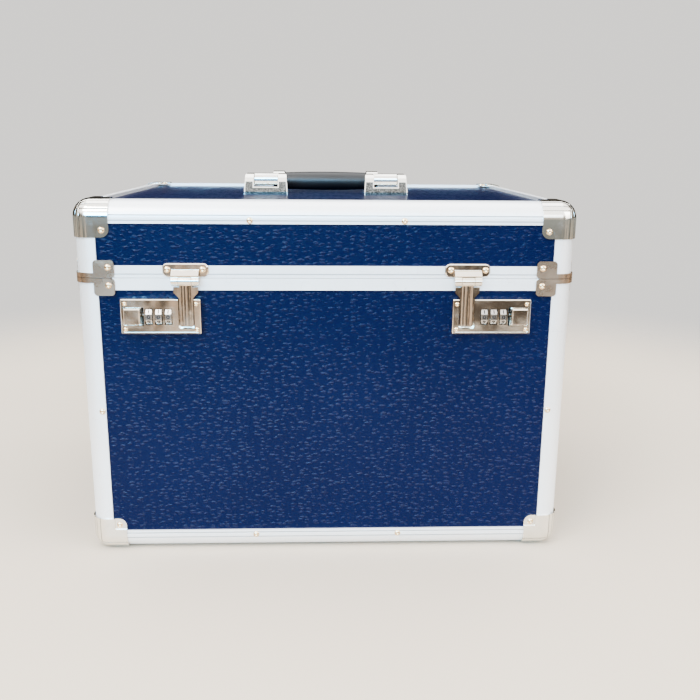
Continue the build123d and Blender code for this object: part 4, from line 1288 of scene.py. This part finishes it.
def photo_camera(studio):
    """The camera that took the photograph."""
    data = bpy.data.cameras.new("photo_camera")
    data.lens = studio.lens
    data.sensor_width = 36
    data.clip_start = 0.01
    camera = linked("photo_camera", data)
    yaw, pitch, roll = studio.yaw, studio.pitch, studio.roll
    level = math.cos(pitch)
    ahead = Vector((math.sin(yaw) * level, math.cos(yaw) * level, -math.sin(pitch)))
    right = Vector((math.cos(yaw), -math.sin(yaw), 0))
    up = right.cross(ahead)
    rolled_right = math.cos(roll) * right + math.sin(roll) * up
    rolled_up = math.cos(roll) * up - math.sin(roll) * right
    turn = Matrix((rolled_right, rolled_up, -ahead)).transposed()
    camera.matrix_world = Matrix.Translation(studio.place) @ turn.to_4x4()
    bpy.context.scene.camera = camera


class BOX_OT_stage(bpy.types.Operator):
    """Pale floor, soft lights and the photograph's camera"""

    bl_idname = "box.stage"
    bl_label = "Stage"

    def execute(self, context):
        studio = context.scene.box_studio
        soft_world(studio)
        pale_floor(studio)
        for light in LIGHTS:
            soft_light(*light)
        photo_camera(studio)
        context.scene.view_settings.look = "AgX - Medium High Contrast"
        return {"FINISHED"}


class BOX_PT_pieces(bpy.types.Panel):
    """Lists the operators that build the box's looks"""

    bl_idname = "BOX_PT_pieces"
    bl_label = "Grooming box"
    bl_space_type = "VIEW_3D"
    bl_region_type = "UI"
    bl_category = "Box"

    def draw(self, context):
        for operator in OPERATORS:
            self.layout.operator(operator.bl_idname)
        for settings in SETTINGS:
            box = self.layout.box()
            held = getattr(context.scene, settings)
            for name in held.bl_rna.properties.keys():
                if name not in ("rna_type", "name"):
                    box.prop(held, name)


OPERATORS = (
    BOX_OT_stage, BOX_OT_panels, BOX_OT_profiles, BOX_OT_corners, BOX_OT_latches, BOX_OT_dials,
    BOX_OT_springs, BOX_OT_rivets, BOX_OT_handle, BOX_OT_hinges, BOX_OT_linings, BOX_OT_tray,
)
SETTINGS = {
    "box_finish": BoxFinish, "box_relief": PanelRelief, "box_rivets": RivetSizes,
    "box_figures": DialFigures, "box_springs": SpringSizes, "box_lining": LiningSizes,
    "box_studio": StudioSettings,
}


def register():
    """Make the settings, operators and panel known."""
    for name, group in SETTINGS.items():
        bpy.utils.register_class(group)
        setattr(bpy.types.Scene, name, PointerProperty(type=group))
    for kind in (*OPERATORS, BOX_PT_pieces):
        bpy.utils.register_class(kind)


def unregister():
    """Take them away again."""
    for kind in reversed((*OPERATORS, BOX_PT_pieces)):
        bpy.utils.unregister_class(kind)
    for name, group in SETTINGS.items():
        delattr(bpy.types.Scene, name)
        bpy.utils.unregister_class(group)


def main():
    register()
    for operator in OPERATORS:
        family, name = operator.bl_idname.split(".")
        getattr(getattr(bpy.ops, family), name)()


if __name__ == "__main__":
    main()
